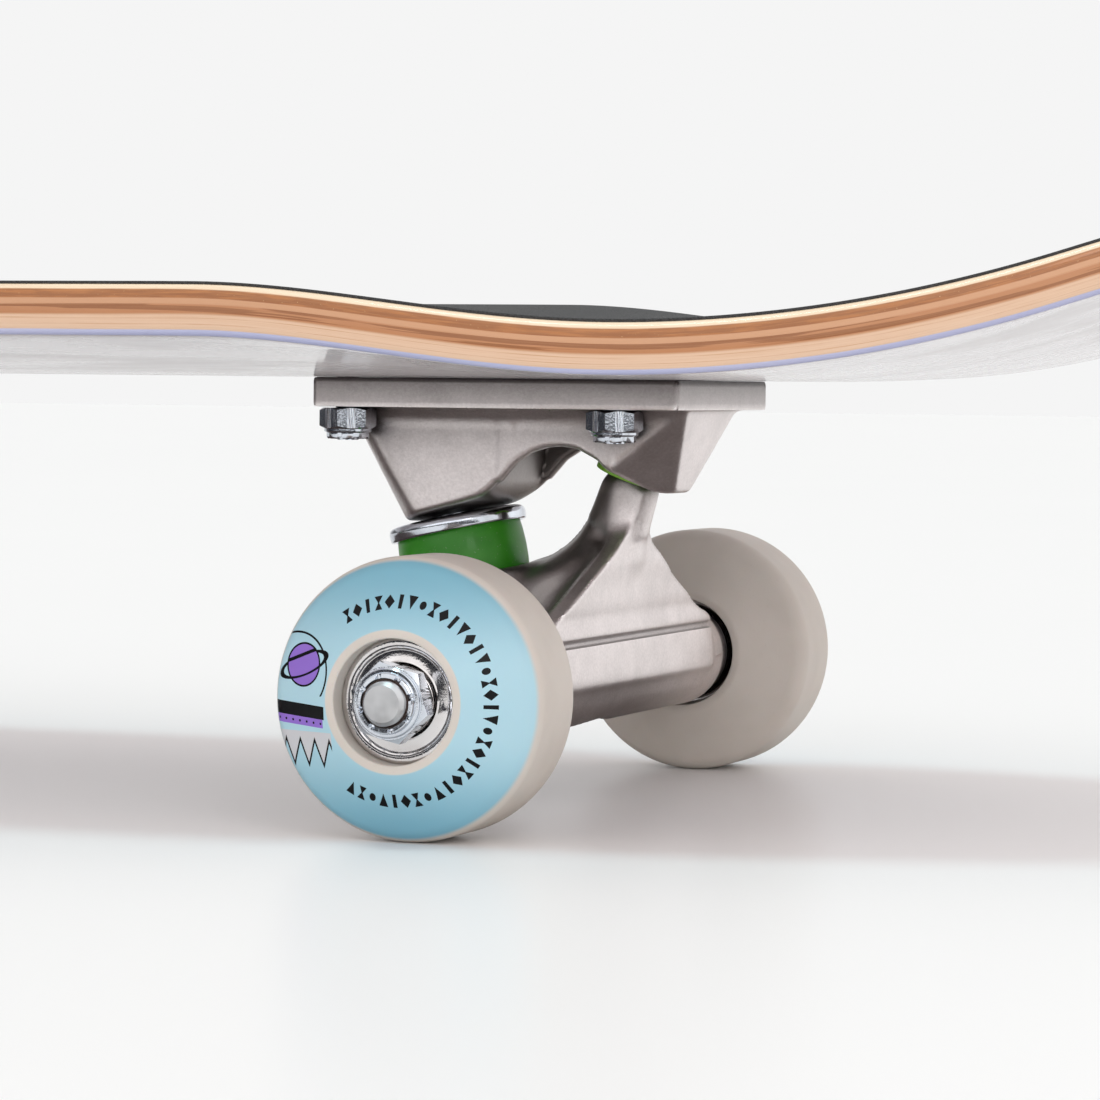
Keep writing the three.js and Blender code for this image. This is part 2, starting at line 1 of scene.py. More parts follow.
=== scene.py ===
"""A street skateboard: pressed maple deck, grip sheet, two steering trucks and four urethane wheels.

Sizes are in millimetres until a mesh is made. A truck's pieces are worked out in the truck's own
frame, which has its origin on the floor under the axle and +X towards the board's end.
"""

import math

import bmesh
import bpy
import numpy as np
from mathutils import Matrix, Vector


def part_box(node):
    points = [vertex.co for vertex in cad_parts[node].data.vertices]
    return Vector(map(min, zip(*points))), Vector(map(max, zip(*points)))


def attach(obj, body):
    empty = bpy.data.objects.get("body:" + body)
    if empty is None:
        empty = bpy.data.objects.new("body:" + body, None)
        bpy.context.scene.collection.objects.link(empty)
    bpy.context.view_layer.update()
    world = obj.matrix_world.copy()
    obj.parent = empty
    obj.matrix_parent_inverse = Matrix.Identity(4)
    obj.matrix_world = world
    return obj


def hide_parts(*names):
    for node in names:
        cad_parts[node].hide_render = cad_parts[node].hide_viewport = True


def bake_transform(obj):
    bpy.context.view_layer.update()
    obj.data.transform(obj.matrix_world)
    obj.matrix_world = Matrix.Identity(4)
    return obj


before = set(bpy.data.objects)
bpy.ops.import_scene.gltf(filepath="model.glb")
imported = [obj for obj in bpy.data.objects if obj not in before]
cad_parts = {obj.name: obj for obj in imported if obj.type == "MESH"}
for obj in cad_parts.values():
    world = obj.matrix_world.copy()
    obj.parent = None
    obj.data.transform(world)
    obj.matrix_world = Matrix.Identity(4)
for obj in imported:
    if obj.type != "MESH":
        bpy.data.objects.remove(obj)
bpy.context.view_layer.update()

MM = 0.001
WELD = 2e-6  # metres: points closer than this are one point
TURN = 2 * math.pi


def box_mm(node):
    """The lowest and highest corner of a CAD node, in millimetres."""
    low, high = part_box(node)
    return np.array(low) / MM, np.array(high) / MM


# ---- Driving sizes ------------------------------------------------------------------------------

deck_low, deck_high = box_mm("deck")
axle_low, axle_high = box_mm("front_axle")
wheel_low, wheel_high = box_mm("front_right_wheel")

BOARD_LENGTH = deck_high[0] - deck_low[0]
BOARD_WIDTH = deck_high[1] - deck_low[1]
AXLE_X = (axle_low[0] + axle_high[0]) / 2
AXLE_HEIGHT = (axle_low[2] + axle_high[2]) / 2
WHEEL_RADIUS = (wheel_high[2] - wheel_low[2]) / 2
WHEEL_OFFSET = -(wheel_low[1] + wheel_high[1]) / 2
WHEEL_HALF_WIDTH = (wheel_high[1] - wheel_low[1]) / 2

DECK_UNDERSIDE = deck_low[2]
DECK_THICKNESS = 9.0
GRIP_LIFT = 0.15
GRIP_THICKNESS = 0.65
GRIP_INSET = 0.6
NOSE_START = 170.0
NOSE_POWER = 2.1
KICK_START = 37.0
KICK_RADIUS = 222.0
KICK_ANGLE = math.radians(19.4)
CONCAVE_RISE = 7.0
CONCAVE_FADE = 37.0
END_CONCAVE_RISE = 0.8
CONCAVE_FLAT = 30.0
CONCAVE_POWER = 1.6

RING_CENTRE = np.array([-21.6, 0, 37.5])
KINGPIN_TILT = math.radians(-12.5)
PIVOT_MOUTH = np.array([11.4, 0, 62.4])
PIVOT_TILT = math.radians(19.6)


# ---- Meshes -------------------------------------------------------------------------------------


def grid_mesh(name, points, uv=None):
    """A mesh from a grid of points (rows, columns, 3): one quad between each four neighbours.

    Rows or columns that meet are welded, and so are the points of a pole, so a grid whose last
    column lies on its first one makes a closed skin.
    """
    rows, columns = points.shape[:2]
    index = np.arange(rows * columns).reshape(rows, columns)
    quads = np.stack([index[:-1, :-1], index[:-1, 1:], index[1:, 1:], index[1:, :-1]], -1).reshape(-1, 4)
    flat_uv = None if uv is None else uv.reshape(-1, 2)
    return skin(name, points.reshape(-1, 3), quads, flat_uv)


def skin(name, points, quads, uv=None, layers=()):
    """A welded mesh with its faces outwards, from points in millimetres and quads, with a named
    number at each point for each layer."""
    mesh = bpy.data.meshes.new(name)
    mesh.vertices.add(len(points))
    mesh.vertices.foreach_set("co", (points * MM).astype(np.float32).ravel())
    mesh.loops.add(quads.size)
    mesh.loops.foreach_set("vertex_index", quads.astype(np.int32).ravel())
    mesh.polygons.add(len(quads))
    mesh.polygons.foreach_set("loop_start", np.arange(0, quads.size, 4, dtype=np.int32))
    mesh.update(calc_edges=True)
    if uv is not None:
        layer = mesh.uv_layers.new(name="surface")
        layer.uv.foreach_set("vector", uv[quads.ravel()].astype(np.float32).ravel())
    for label, values in layers:
        mesh.attributes.new(label, "FLOAT", "POINT").data.foreach_set("value", values.astype(np.float32))
    work = bmesh.new()
    work.from_mesh(mesh)
    bmesh.ops.remove_doubles(work, verts=work.verts, dist=WELD)
    bmesh.ops.dissolve_degenerate(work, edges=work.edges, dist=WELD / 10)
    bmesh.ops.recalc_face_normals(work, faces=work.faces)
    work.to_mesh(mesh)
    work.free()
    return mesh


def piece(name, surface, finish, body, node=None, crease=32.0, uv=None):
    """Shows a grid of points, or a mesh, as one piece of the board: it rides a CAD body and may stand
    for a CAD node. Edges sharper than crease, in degrees, stay sharp."""
    mesh = surface if isinstance(surface, bpy.types.Mesh) else grid_mesh(name, surface, uv)
    mesh.shade_smooth()
    mesh.set_sharp_from_angle(angle=math.radians(crease))
    mesh.materials.append(finish.material)
    made = shown(name, mesh)
    if body:
        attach(made, body)
    if node:
        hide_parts(node)
    return made


def shown(name, data):
    """An object for a mesh, a lamp or a camera, put in the scene."""
    made = bpy.data.objects.new(name, data)
    bpy.context.scene.collection.objects.link(made)
    return made


def frame_at(origin, tilt=0.0):
    """A frame (axes as columns, origin) turned about Y by tilt."""
    c, s = math.cos(tilt), math.sin(tilt)
    return np.array([[c, 0, s], [0, 1, 0], [-s, 0, c]]), np.asarray(origin, float)


KINGPIN_FRAME = frame_at(RING_CENTRE, KINGPIN_TILT)
PIVOT_FRAME = frame_at(PIVOT_MOUTH, PIVOT_TILT)


def placed(points, where):
    """Points of a local frame, put where that frame is."""
    axes, origin = where
    return points @ axes.T + origin


def truck_points(points, direction):
    """Points of a truck's frame in the board's frame: the rear truck is the front one turned half round."""
    turned = points * [direction, direction, 1]
    return turned + [direction * AXLE_X, 0, 0]


def filleted(corners, radius, steps=4):
    """A closed outline with every corner rounded: each corner becomes a quadratic curve that leaves
    one side and joins the next at the given distance, or at 45% of a side that is too short."""
    corners = np.asarray(corners, float)
    reach = np.broadcast_to(np.asarray(radius, float), len(corners))[:, None]
    before, after = np.roll(corners, 1, 0) - corners, np.roll(corners, -1, 0) - corners
    long_before = np.linalg.norm(before, axis=1, keepdims=True)
    long_after = np.linalg.norm(after, axis=1, keepdims=True)
    start = corners + before / long_before * np.minimum(reach, 0.45 * long_before)
    end = corners + after / long_after * np.minimum(reach, 0.45 * long_after)
    t = np.linspace(0, 1, steps + 1)[None, :, None]
    curve = (1 - t) ** 2 * start[:, None] + 2 * t * (1 - t) * corners[:, None] + t**2 * end[:, None]
    return curve.reshape(-1, corners.shape[1])


def turned_grid(radius, height, sides):
    """A profile carried round +Z: x and y are the radius times the cosine and sine of the angle.

    Radius and height are arrays over the profile's points, or over its points and the angles.
    """
    angle = np.linspace(0, TURN, sides + 1)
    radius, height = np.asarray(radius, float), np.asarray(height, float)
    if radius.ndim == 1:
        radius = np.repeat(radius[:, None], sides + 1, 1)
    if height.ndim == 1:
        height = np.repeat(height[:, None], sides + 1, 1)
    return np.stack([radius * np.cos(angle), radius * np.sin(angle), height], -1)


def turned_rows(rows, sides):
    """Rows of (radius, height) carried round +Z; each value is a number or an array over the angles."""
    spread = [[np.broadcast_to(value, sides + 1) for value in row] for row in rows]
    radius, height = np.array(spread, float).transpose(1, 0, 2)
    return turned_grid(radius, height, sides)


def ring_grid(corners, radius=0.25, sides=96, steps=4):
    """A closed outline (radius, height) with its corners rounded, carried round +Z."""
    outline = filleted(corners, radius, steps)
    outline = np.vstack([outline, outline[:1]])
    return turned_grid(outline[:, 0], outline[:, 1], sides)


# ---- Solid fields, for the castings -------------------------------------------------------------
# A field is a function of x, y and z arrays that is negative inside the solid.


def smooth(t):
    """Goes from 0 to 1 as t does, level at both ends, and stays there beyond them."""
    t = np.clip(t, 0, 1)
    return t * t * (3 - 2 * t)


def soft_max(a, b, k):
    """The larger of two fields, with the edge between them rounded over a width of about k."""
    h = np.maximum(k - np.abs(a - b), 0) / k
    return np.maximum(a, b) + h * h * k / 4


def soft_min(a, b, k):
    """The smaller of two fields, with a fillet of about k where they meet."""
    return -soft_max(-a, -b, k)


def round_box(x, y, z, centre, half, radius):
    """A box with rounded edges: the distance to a smaller box, less the radius."""
    q = [np.abs(v - c) - (h - radius) for v, c, h in zip((x, y, z), centre, half)]
    outside = np.sqrt(sum(np.maximum(v, 0) ** 2 for v in q))
    return outside + np.minimum(np.maximum(np.maximum(q[0], q[1]), q[2]), 0) - radius


def in_frame(x, y, z, where):
    """Coordinates in a tilted frame: x', y' and height along its axis."""
    axes, origin = where
    dx, dy, dz = x - origin[0], y - origin[1], z - origin[2]
    return tuple(dx * axes[0, i] + dy * axes[1, i] + dz * axes[2, i] for i in range(3))


def outline_field(x, z, corners):
    """The signed distance to a closed outline in the x-z plane, negative inside."""
    corners = np.asarray(corners, float)
    nearest = np.full(np.broadcast(x, z).shape, 1e9)
    inside = np.zeros(nearest.shape, bool)
    for (ax, az), (bx, bz) in zip(corners, np.roll(corners, -1, 0)):
        ex, ez = bx - ax, bz - az
        t = np.clip(((x - ax) * ex + (z - az) * ez) / (ex * ex + ez * ez), 0, 1)
        nearest = np.minimum(nearest, (x - ax - t * ex) ** 2 + (z - az - t * ez) ** 2)
        inside ^= ((az > z) != (bz > z)) & (x < ax + ex * (z - az) / (ez if ez else 1e-9))
    return np.where(inside, -1, 1) * np.sqrt(nearest)


def smooth_table(value, places, heights):
    """A smooth curve through a table: cubic between neighbours, with each point's slope taken from
    the points on both sides of it."""
    places, heights = np.asarray(places, float), np.asarray(heights, float)
    slopes = np.gradient(heights, places)
    i = np.clip(np.searchsorted(places, value) - 1, 0, len(places) - 2)
    gap = places[i + 1] - places[i]
    t = np.clip((value - places[i]) / gap, 0, 1)
    return (
        heights[i] * (1 + 2 * t) * (1 - t) ** 2
        + slopes[i] * gap * t * (1 - t) ** 2
        + heights[i + 1] * t * t * (3 - 2 * t)
        + slopes[i + 1] * gap * t * t * (t - 1)
    )


def hull_planes(corners):
    """The outward planes of the convex hull of some corners and their mirror images across the middle."""
    work = bmesh.new()
    for x, y, z in corners:
        for side in (-1, 1):
            work.verts.new((x, side * y, z))
    bmesh.ops.convex_hull(work, input=work.verts)
    planes = {}
    for face in work.faces:
        if face.calc_area() > 0.5:
            face.normal_update()
            reach = face.verts[0].co.dot(face.normal)
            planes[tuple(round(v, 2) for v in face.normal)] = (np.array(face.normal), reach)
    work.free()
    return list(planes.values())


def hull_field(x, y, z, planes, k):
    """A convex solid with its edges rounded by k: the soft maximum of the distances to its planes."""
    whole = None
    for normal, reach in planes:
        level = x * normal[0] + y * normal[1] + z * normal[2] - reach
        whole = level if whole is None else soft_max(whole, level, k)
    return whole


def cast_mesh(name, field, shade_mask, low, high, step, place):
    """The skin of a field, by the surface net method.

    The field is sampled on a grid. Each cell that the skin crosses gets one point, the mean of the
    crossings on the cell's edges, which is then moved along the field's slope onto the skin. Each
    crossed grid edge gives one quad between its four cells. The attribute "edge" is how far a point
    stands out from its neighbours' mean, in grid steps, and "recess" is how much painted shade its place
    gets.
    """
    axes = [np.arange(a, b + step, step) for a, b in zip(low, high)]
    grid = np.meshgrid(*axes, indexing="ij")
    value = field(*grid)
    size = np.array(value.shape)
    cells = size - 1
    total = np.zeros((*cells, 3))
    count = np.zeros(cells)
    faces = []
    cell_index = np.arange(np.prod(cells)).reshape(cells)
    for axis in range(3):
        others = [a for a in range(3) if a != axis]
        here = [slice(None)] * 3
        there = [slice(None)] * 3
        here[axis], there[axis] = slice(0, -1), slice(1, None)
        f0, f1 = value[tuple(here)], value[tuple(there)]
        crossed = (f0 < 0) != (f1 < 0)
        share = np.where(crossed, f0 / np.where(crossed, f0 - f1, 1), 0)
        spot = [g[tuple(here)] for g in grid]
        spot[axis] = spot[axis] + share * step
        for da in (0, 1):
            for db in (0, 1):
                source, target = [slice(None)] * 3, [slice(None)] * 3
                for a, d in zip(others, (da, db)):
                    source[a] = slice(d, size[a] - 1 + d)
                source, target = tuple(source), tuple(target)
                mask = crossed[source]
                count[target] += mask
                for i in range(3):
                    total[..., i][target] += np.where(mask, spot[i][source], 0)
        inner = [slice(None)] * 3
        for a in others:
            inner[a] = slice(1, size[a] - 1)
        at = np.argwhere(crossed[tuple(inner)])
        at[:, others] += 1
        rising = f0[tuple(at.T)] < 0
        corners = []
        for da, db in ((0, 0), (1, 0), (1, 1), (0, 1)):
            cell = at.copy()
            cell[:, others[0]] -= da
            cell[:, others[1]] -= db
            corners.append(cell_index[tuple(cell.T)])
        quad = np.stack(corners, 1)
        flip = rising if axis == 1 else ~rising
        quad[flip] = quad[flip][:, ::-1]
        faces.append(quad)
    used = count > 0
    order = np.full(cell_index.size, -1)
    order[cell_index[used]] = np.arange(used.sum())
    points = total[used] / count[used][:, None]
    quads = order[np.concatenate(faces)]
    for _ in range(4):
        normal, level = slope(field, points)
        points = points - np.clip(level, -step, step)[:, None] * normal
    normal, _ = slope(field, points)
    ends = np.concatenate([quads[:, [i, (i + 1) % 4]] for i in range(4)])
    mean = np.zeros_like(points)
    near = np.zeros(len(points))
    for a, b in ((0, 1), (1, 0)):
        np.add.at(mean, ends[:, a], points[ends[:, b]])
        np.add.at(near, ends[:, a], 1)
    standing_out = ((points - mean / near[:, None]) * normal).sum(1) / step
    layers = (("edge", standing_out), ("recess", shade_mask(*points.T)))
    return skin(name, place(points), quads, layers=layers)


def slope(field, points):
    """The field's unit slope at some points, and its level there as a distance."""
    d = 0.02
    x, y, z = points.T
    middle = field(x, y, z)
    ahead = [field(x + d, y, z), field(x, y + d, z), field(x, y, z + d)]
    rise = (np.stack(ahead, 1) - middle[:, None]) / d
    steep = np.linalg.norm(rise, axis=1, keepdims=True) + 1e-9
    return rise / steep, middle / steep[:, 0]


# ---- Shader arithmetic and groups ---------------------------------------------------------------


class Nodes:
    """A shader tree being built, with short calls for the nodes that patterns use."""

    def __init__(self, tree):
        self.tree = tree

    def feed(self, socket, value):
        """Links a number or a socket into a socket, or sets it to a constant. A colour gets its alpha."""
        if isinstance(value, Number):
            value = value.socket
        if hasattr(value, "is_output"):
            self.tree.links.new(value, socket)
        else:
            socket.default_value = (*value, 1) if socket.type == "RGBA" else value

    def add(self, kind, inputs=(), **settings):
        """Adds a node with its settings, and with its inputs by name or by number."""
        node = self.tree.nodes.new("ShaderNode" + kind)
        for label, value in settings.items():
            setattr(node, label, value)
        for label, value in dict(inputs).items():
            self.feed(node.inputs[label], value)
        return node

    def number(self, node, label=0):
        """One output of a node, ready for arithmetic."""
        return Number(self, node.outputs[label])

    def light_path(self, label):
        """What kind of ray meets the surface, or how long it is."""
        return self.number(self.add("LightPath"), label)

    def noise(self, vector, scale, detail=2.0, roughness=0.5, distortion=0.0):
        """Soft noise around a half."""
        inputs = {"Vector": vector, "Scale": scale, "Detail": detail, "Roughness": roughness,
                  "Distortion": distortion}
        return self.number(self.add("TexNoise", inputs), "Fac")

    def stretched(self, vector, scale, turn=(0, 0, 0)):
        """Coordinates turned and stretched before a texture reads them."""
        return self.add("Mapping", {"Vector": vector, "Scale": scale, "Rotation": turn}).outputs["Vector"]

    def joined(self, x, y, z=0.0):
        """A vector of three numbers."""
        return self.add("CombineXYZ", enumerate((x, y, z))).outputs["Vector"]

    def split(self, vector):
        """The three numbers of a vector."""
        return [Number(self, socket) for socket in self.add("SeparateXYZ", {0: vector}).outputs]

    def blended(self, share, first, second):
        """Mixes two colours; each is a socket or a plain colour."""
        node = self.add("Mix", data_type="RGBA")
        self.feed(node.inputs["Factor"], share)
        for socket, value in zip([s for s in node.inputs if s.type == "RGBA"], (first, second)):
            self.feed(socket, value)
        return next(s for s in node.outputs if s.type == "RGBA")


def operation(kind):
    """A method that applies one operation of the Math node to a number and to what follows it."""

    def apply(self, *others):
        return self.nodes.number(self.nodes.add("Math", enumerate((self, *others)), operation=kind))

    return apply


class Number:
    """A value in a shader tree, so that a pattern can be written as ordinary arithmetic."""

    def __init__(self, nodes, socket):
        self.nodes, self.socket = nodes, socket

    __add__, __sub__ = operation("ADD"), operation("SUBTRACT")
    __mul__, __truediv__ = operation("MULTIPLY"), operation("DIVIDE")
    __lt__, __gt__ = operation("LESS_THAN"), operation("GREATER_THAN")
    __abs__, __pow__ = operation("ABSOLUTE"), operation("POWER")
    fraction, floor = operation("FRACT"), operation("FLOOR")
    at_least, at_most = operation("MAXIMUM"), operation("MINIMUM")
    angle_from = operation("ARCTAN2")

    def between(self, low, high):
        return (self > low) * (self < high)

    def ramp(self, low, high, start=0.0, end=1.0):
        """Goes smoothly from start to end as the value goes from low to high."""
        inputs = {"Value": self, "From Min": low, "From Max": high, "To Min": start, "To Max": end}
        node = self.nodes.add("MapRange", inputs, interpolation_type="SMOOTHSTEP")
        return self.nodes.number(node, "Result")


def length(a, b):
    """The length of the vector (a, b), for numbers."""
    return (a * a + b * b) ** 0.5


def shader_group(name, inputs, outputs):
    """An empty shader group with named inputs and outputs: its tree, its inputs and its outputs."""
    group = bpy.data.node_groups.new(name, "ShaderNodeTree")
    for label, kind, value in inputs:
        socket = group.interface.new_socket(label, in_out="INPUT", socket_type="NodeSocket" + kind)
        if value is not None:
            socket.default_value = value
    for label, kind in outputs:
        group.interface.new_socket(label, in_out="OUTPUT", socket_type="NodeSocket" + kind)
    given, out = group.nodes.new("NodeGroupInput"), group.nodes.new("NodeGroupOutput")
    return Nodes(group), given.outputs, out.inputs


def make_grain_group():
    """Sand-cast or tumbled metal: fine grit, soft blotches, and edges rubbed brighter that also carry a
    painted highlight.

    Grit is a fine noise; blotches are a broad one. The edge value lightens where a casting stands out:
    wear, and a painted highlight on the edges.
    """
    made, given, out = shader_group(
        "cast grain",
        [("Vector", "Vector", None), ("Edge", "Float", 0.0), ("Scale", "Float", 1.0),
         ("Dark", "Color", (0.3, 0.3, 0.3, 1)), ("Light", "Color", (0.6, 0.6, 0.6, 1))],
        [("Color", "Color"), ("Roughness", "Float"), ("Height", "Float")],
    )
    scaled = made.add("VectorMath", {0: given["Vector"], "Scale": given["Scale"]}, operation="SCALE")
    where = scaled.outputs["Vector"]
    grit = made.noise(where, 1900, 3, 0.6)
    pores = made.noise(where, 700, 2, 0.5)
    blotch = made.noise(where, 55, 3, 0.6)
    # Edges lighten in colour: wear, and a painted highlight along the castings' edges.
    edge = Number(made, given["Edge"]).ramp(0.14, 0.4)
    tone = blotch.ramp(0.3, 0.7) * 0.45 + grit.ramp(0.3, 0.75) * 0.45 + edge * 0.5
    made.feed(out["Color"], made.blended(tone.at_most(1.0), given["Dark"], given["Light"]))
    made.feed(out["Roughness"], grit * 0.12 + blotch * 0.2 - edge * 0.12)
    made.feed(out["Height"], grit * 0.6 + pores * 0.6)
    return made.tree


def make_handling_group():
    """Hairline scratches, faint stains and dust that plated and moulded surfaces pick up."""
    made, given, out = shader_group(
        "handling marks",
        [("Vector", "Vector", None), ("Amount", "Float", 1.0)],
        [("Scratches", "Float"), ("Stain", "Float"), ("Dust", "Float")],
    )
    vector, amount = given["Vector"], Number(made, given["Amount"])
    first = made.noise(made.stretched(vector, (2600, 90, 90), (0.3, 0.2, 0.7)), 1, 2, 0.6)
    second = made.noise(made.stretched(vector, (90, 2300, 140), (0.9, 0.1, 0.4)), 1, 2, 0.6)
    made.feed(out["Scratches"], first.ramp(0.62, 0.7).at_least(second.ramp(0.63, 0.7)) * amount)
    made.feed(out["Stain"], made.noise(vector, 160, 4, 0.6).ramp(0.45, 0.75) * amount)
    made.feed(out["Dust"], made.noise(vector, 2400, 1, 0.5).ramp(0.7, 0.78) * amount)
    return made.tree


GRAIN = make_grain_group()
HANDLING = make_handling_group()


class Finish(Nodes):
    """A material being built: its shader, the coordinates that its patterns read, and the record's
    slot for it."""

    def __init__(self, name, slot=None, **constants):
        self.material = bpy.data.materials.new(name)
        self.material.use_nodes = True
        super().__init__(self.material.node_tree)
        self.slot = slot
        self.shader = self.tree.nodes["Principled BSDF"]
        for label, value in constants.items():
            self.shader.inputs[label.replace("_", " ")].default_value = value
        self.place = self.add("TexCoord").outputs["Object"]

    def group(self, group, **values):
        """Places a shader group, and returns its outputs by name."""
        node = self.add("Group", values, node_tree=group)
        return {socket.name: Number(self, socket) for socket in node.outputs}

    def attribute(self, name):
        """A number that the mesh holds at each point."""
        return self.number(self.add("Attribute", attribute_name=name), "Fac")

    def surface(self):
        """The piece's own UV map, as two numbers."""
        return self.split(self.add("UVMap", uv_map="surface").outputs["UV"])[:2]

    def set(self, label, value):
        self.feed(self.shader.inputs[label], value)

    def bump(self, height, distance, strength=1.0):
        node = self.add("Bump", {"Distance": distance, "Strength": strength, "Height": height})
        self.set("Normal", node.outputs["Normal"])


# ---- Finishes -----------------------------------------------------------------------------------


def cast_metal():
    """Tumbled aluminium: bright grain with worn edges that also carry a painted highlight, painted
    shade from ambient occlusion where little open air is around, and a dark, cloudy painted shade
    in the recesses that the recess attribute marks."""
    made = Finish("tumbled cast aluminium", "cast_aluminium", Metallic=0.92)
    grain = made.group(GRAIN, Vector=made.place, Edge=made.attribute("edge"), Dark=(0.74, 0.675, 0.665),
                       Light=(1.0, 0.93, 0.92))
    marks = made.group(HANDLING, Vector=made.place, Amount=0.5)
    stained = made.blended(marks["Stain"] * 0.3, grain["Color"], (0.40, 0.37, 0.36))
    # Painted shade: ambient occlusion mixes the colour towards near black where little open air is around.
    shade_occlusion = made.add("AmbientOcclusion", {"Distance": 0.016}, samples=8)
    unshaded = made.number(shade_occlusion, "AO").ramp(0.3, 0.97)
    painted_shade = made.blended(unshaded, (0.05, 0.042, 0.04), stained)
    # Painted shade: a dark cloudy tone that the recess attribute lays into the hollows and the pocket.
    painted_recess_shade = made.blended(made.noise(made.place, 160, 3), (0.12, 0.105, 0.10), (0.24, 0.215, 0.205))
    made.set("Base Color", made.blended(made.attribute("recess") * 0.74, painted_shade, painted_recess_shade))
    made.set("Roughness", grain["Roughness"] + 0.2)
    made.bump(grain["Height"], 0.00012, 0.55)
    return made


def plated_steel(name, slot, tint, dull, base_roughness):
    """Plated or bare steel: a cloudy tint, faint stains, and scratches that dull it."""
    made = Finish(name, slot, Metallic=1.0)
    marks = made.group(HANDLING, Vector=made.place, Amount=1.0)
    cloud = made.noise(made.place, 120, 3, 0.6)
    tone = made.blended(cloud.ramp(0.35, 0.7), tint, dull)
    made.set("Base Color", made.blended(marks["Stain"] * 0.12, tone, (0.50, 0.46, 0.42)))
    made.set("Roughness", cloud * 0.06 + marks["Scratches"] * 0.08 + base_roughness)
    made.bump(marks["Scratches"] * 0.2 + made.noise(made.place, 2600, 2), 0.00002, 0.5)
    return made


def moulded(name, slot, light, dark, roughness, **constants):
    """Cast or moulded plastic: a slow change of colour, flow marks and a little dust."""
    made = Finish(name, slot, **constants)
    flow = made.noise(made.stretched(made.place, (60, 60, 160)), 1, 3, 0.55, 0.6)
    marks = made.group(HANDLING, Vector=made.place, Amount=0.8)
    colour = made.blended(flow.ramp(0.3, 0.7), dark, light)
    made.set("Base Color", made.blended(marks["Dust"] * 0.25, colour, (0.75, 0.72, 0.68)))
    made.set("Roughness", flow * 0.12 + marks["Stain"] * 0.08 + roughness)
    made.bump(made.noise(made.place, 1500, 2) + marks["Scratches"] * 0.4, 0.00002, 0.4)
    return made


def grip_grit():
    """Black grit in resin: sharp grains at two sizes, each with its own height and sparkle."""
    made = Finish("black abrasive grit", "grip", Specular_IOR_Level=0.6)
    grain = made.number(made.add("TexVoronoi", {"Vector": made.place, "Scale": 2300}), "Distance")
    fine = made.noise(made.place, 5200, 2, 0.7)
    worn = made.noise(made.place, 24, 4, 0.6)
    tone = grain.ramp(0.2, 0.75) * 0.6 + fine.ramp(0.55, 0.8) * 0.4
    colour = made.blended(tone, (0.045, 0.043, 0.045), (0.012, 0.012, 0.013))
    made.set("Base Color", made.blended(worn.ramp(0.4, 0.75) * 0.35, colour, (0.07, 0.066, 0.064)))
    made.set("Roughness", fine * 0.3 + 0.6)
    made.bump(grain * -1.0 + fine * 0.6, 0.0003, 1.0)
    return made


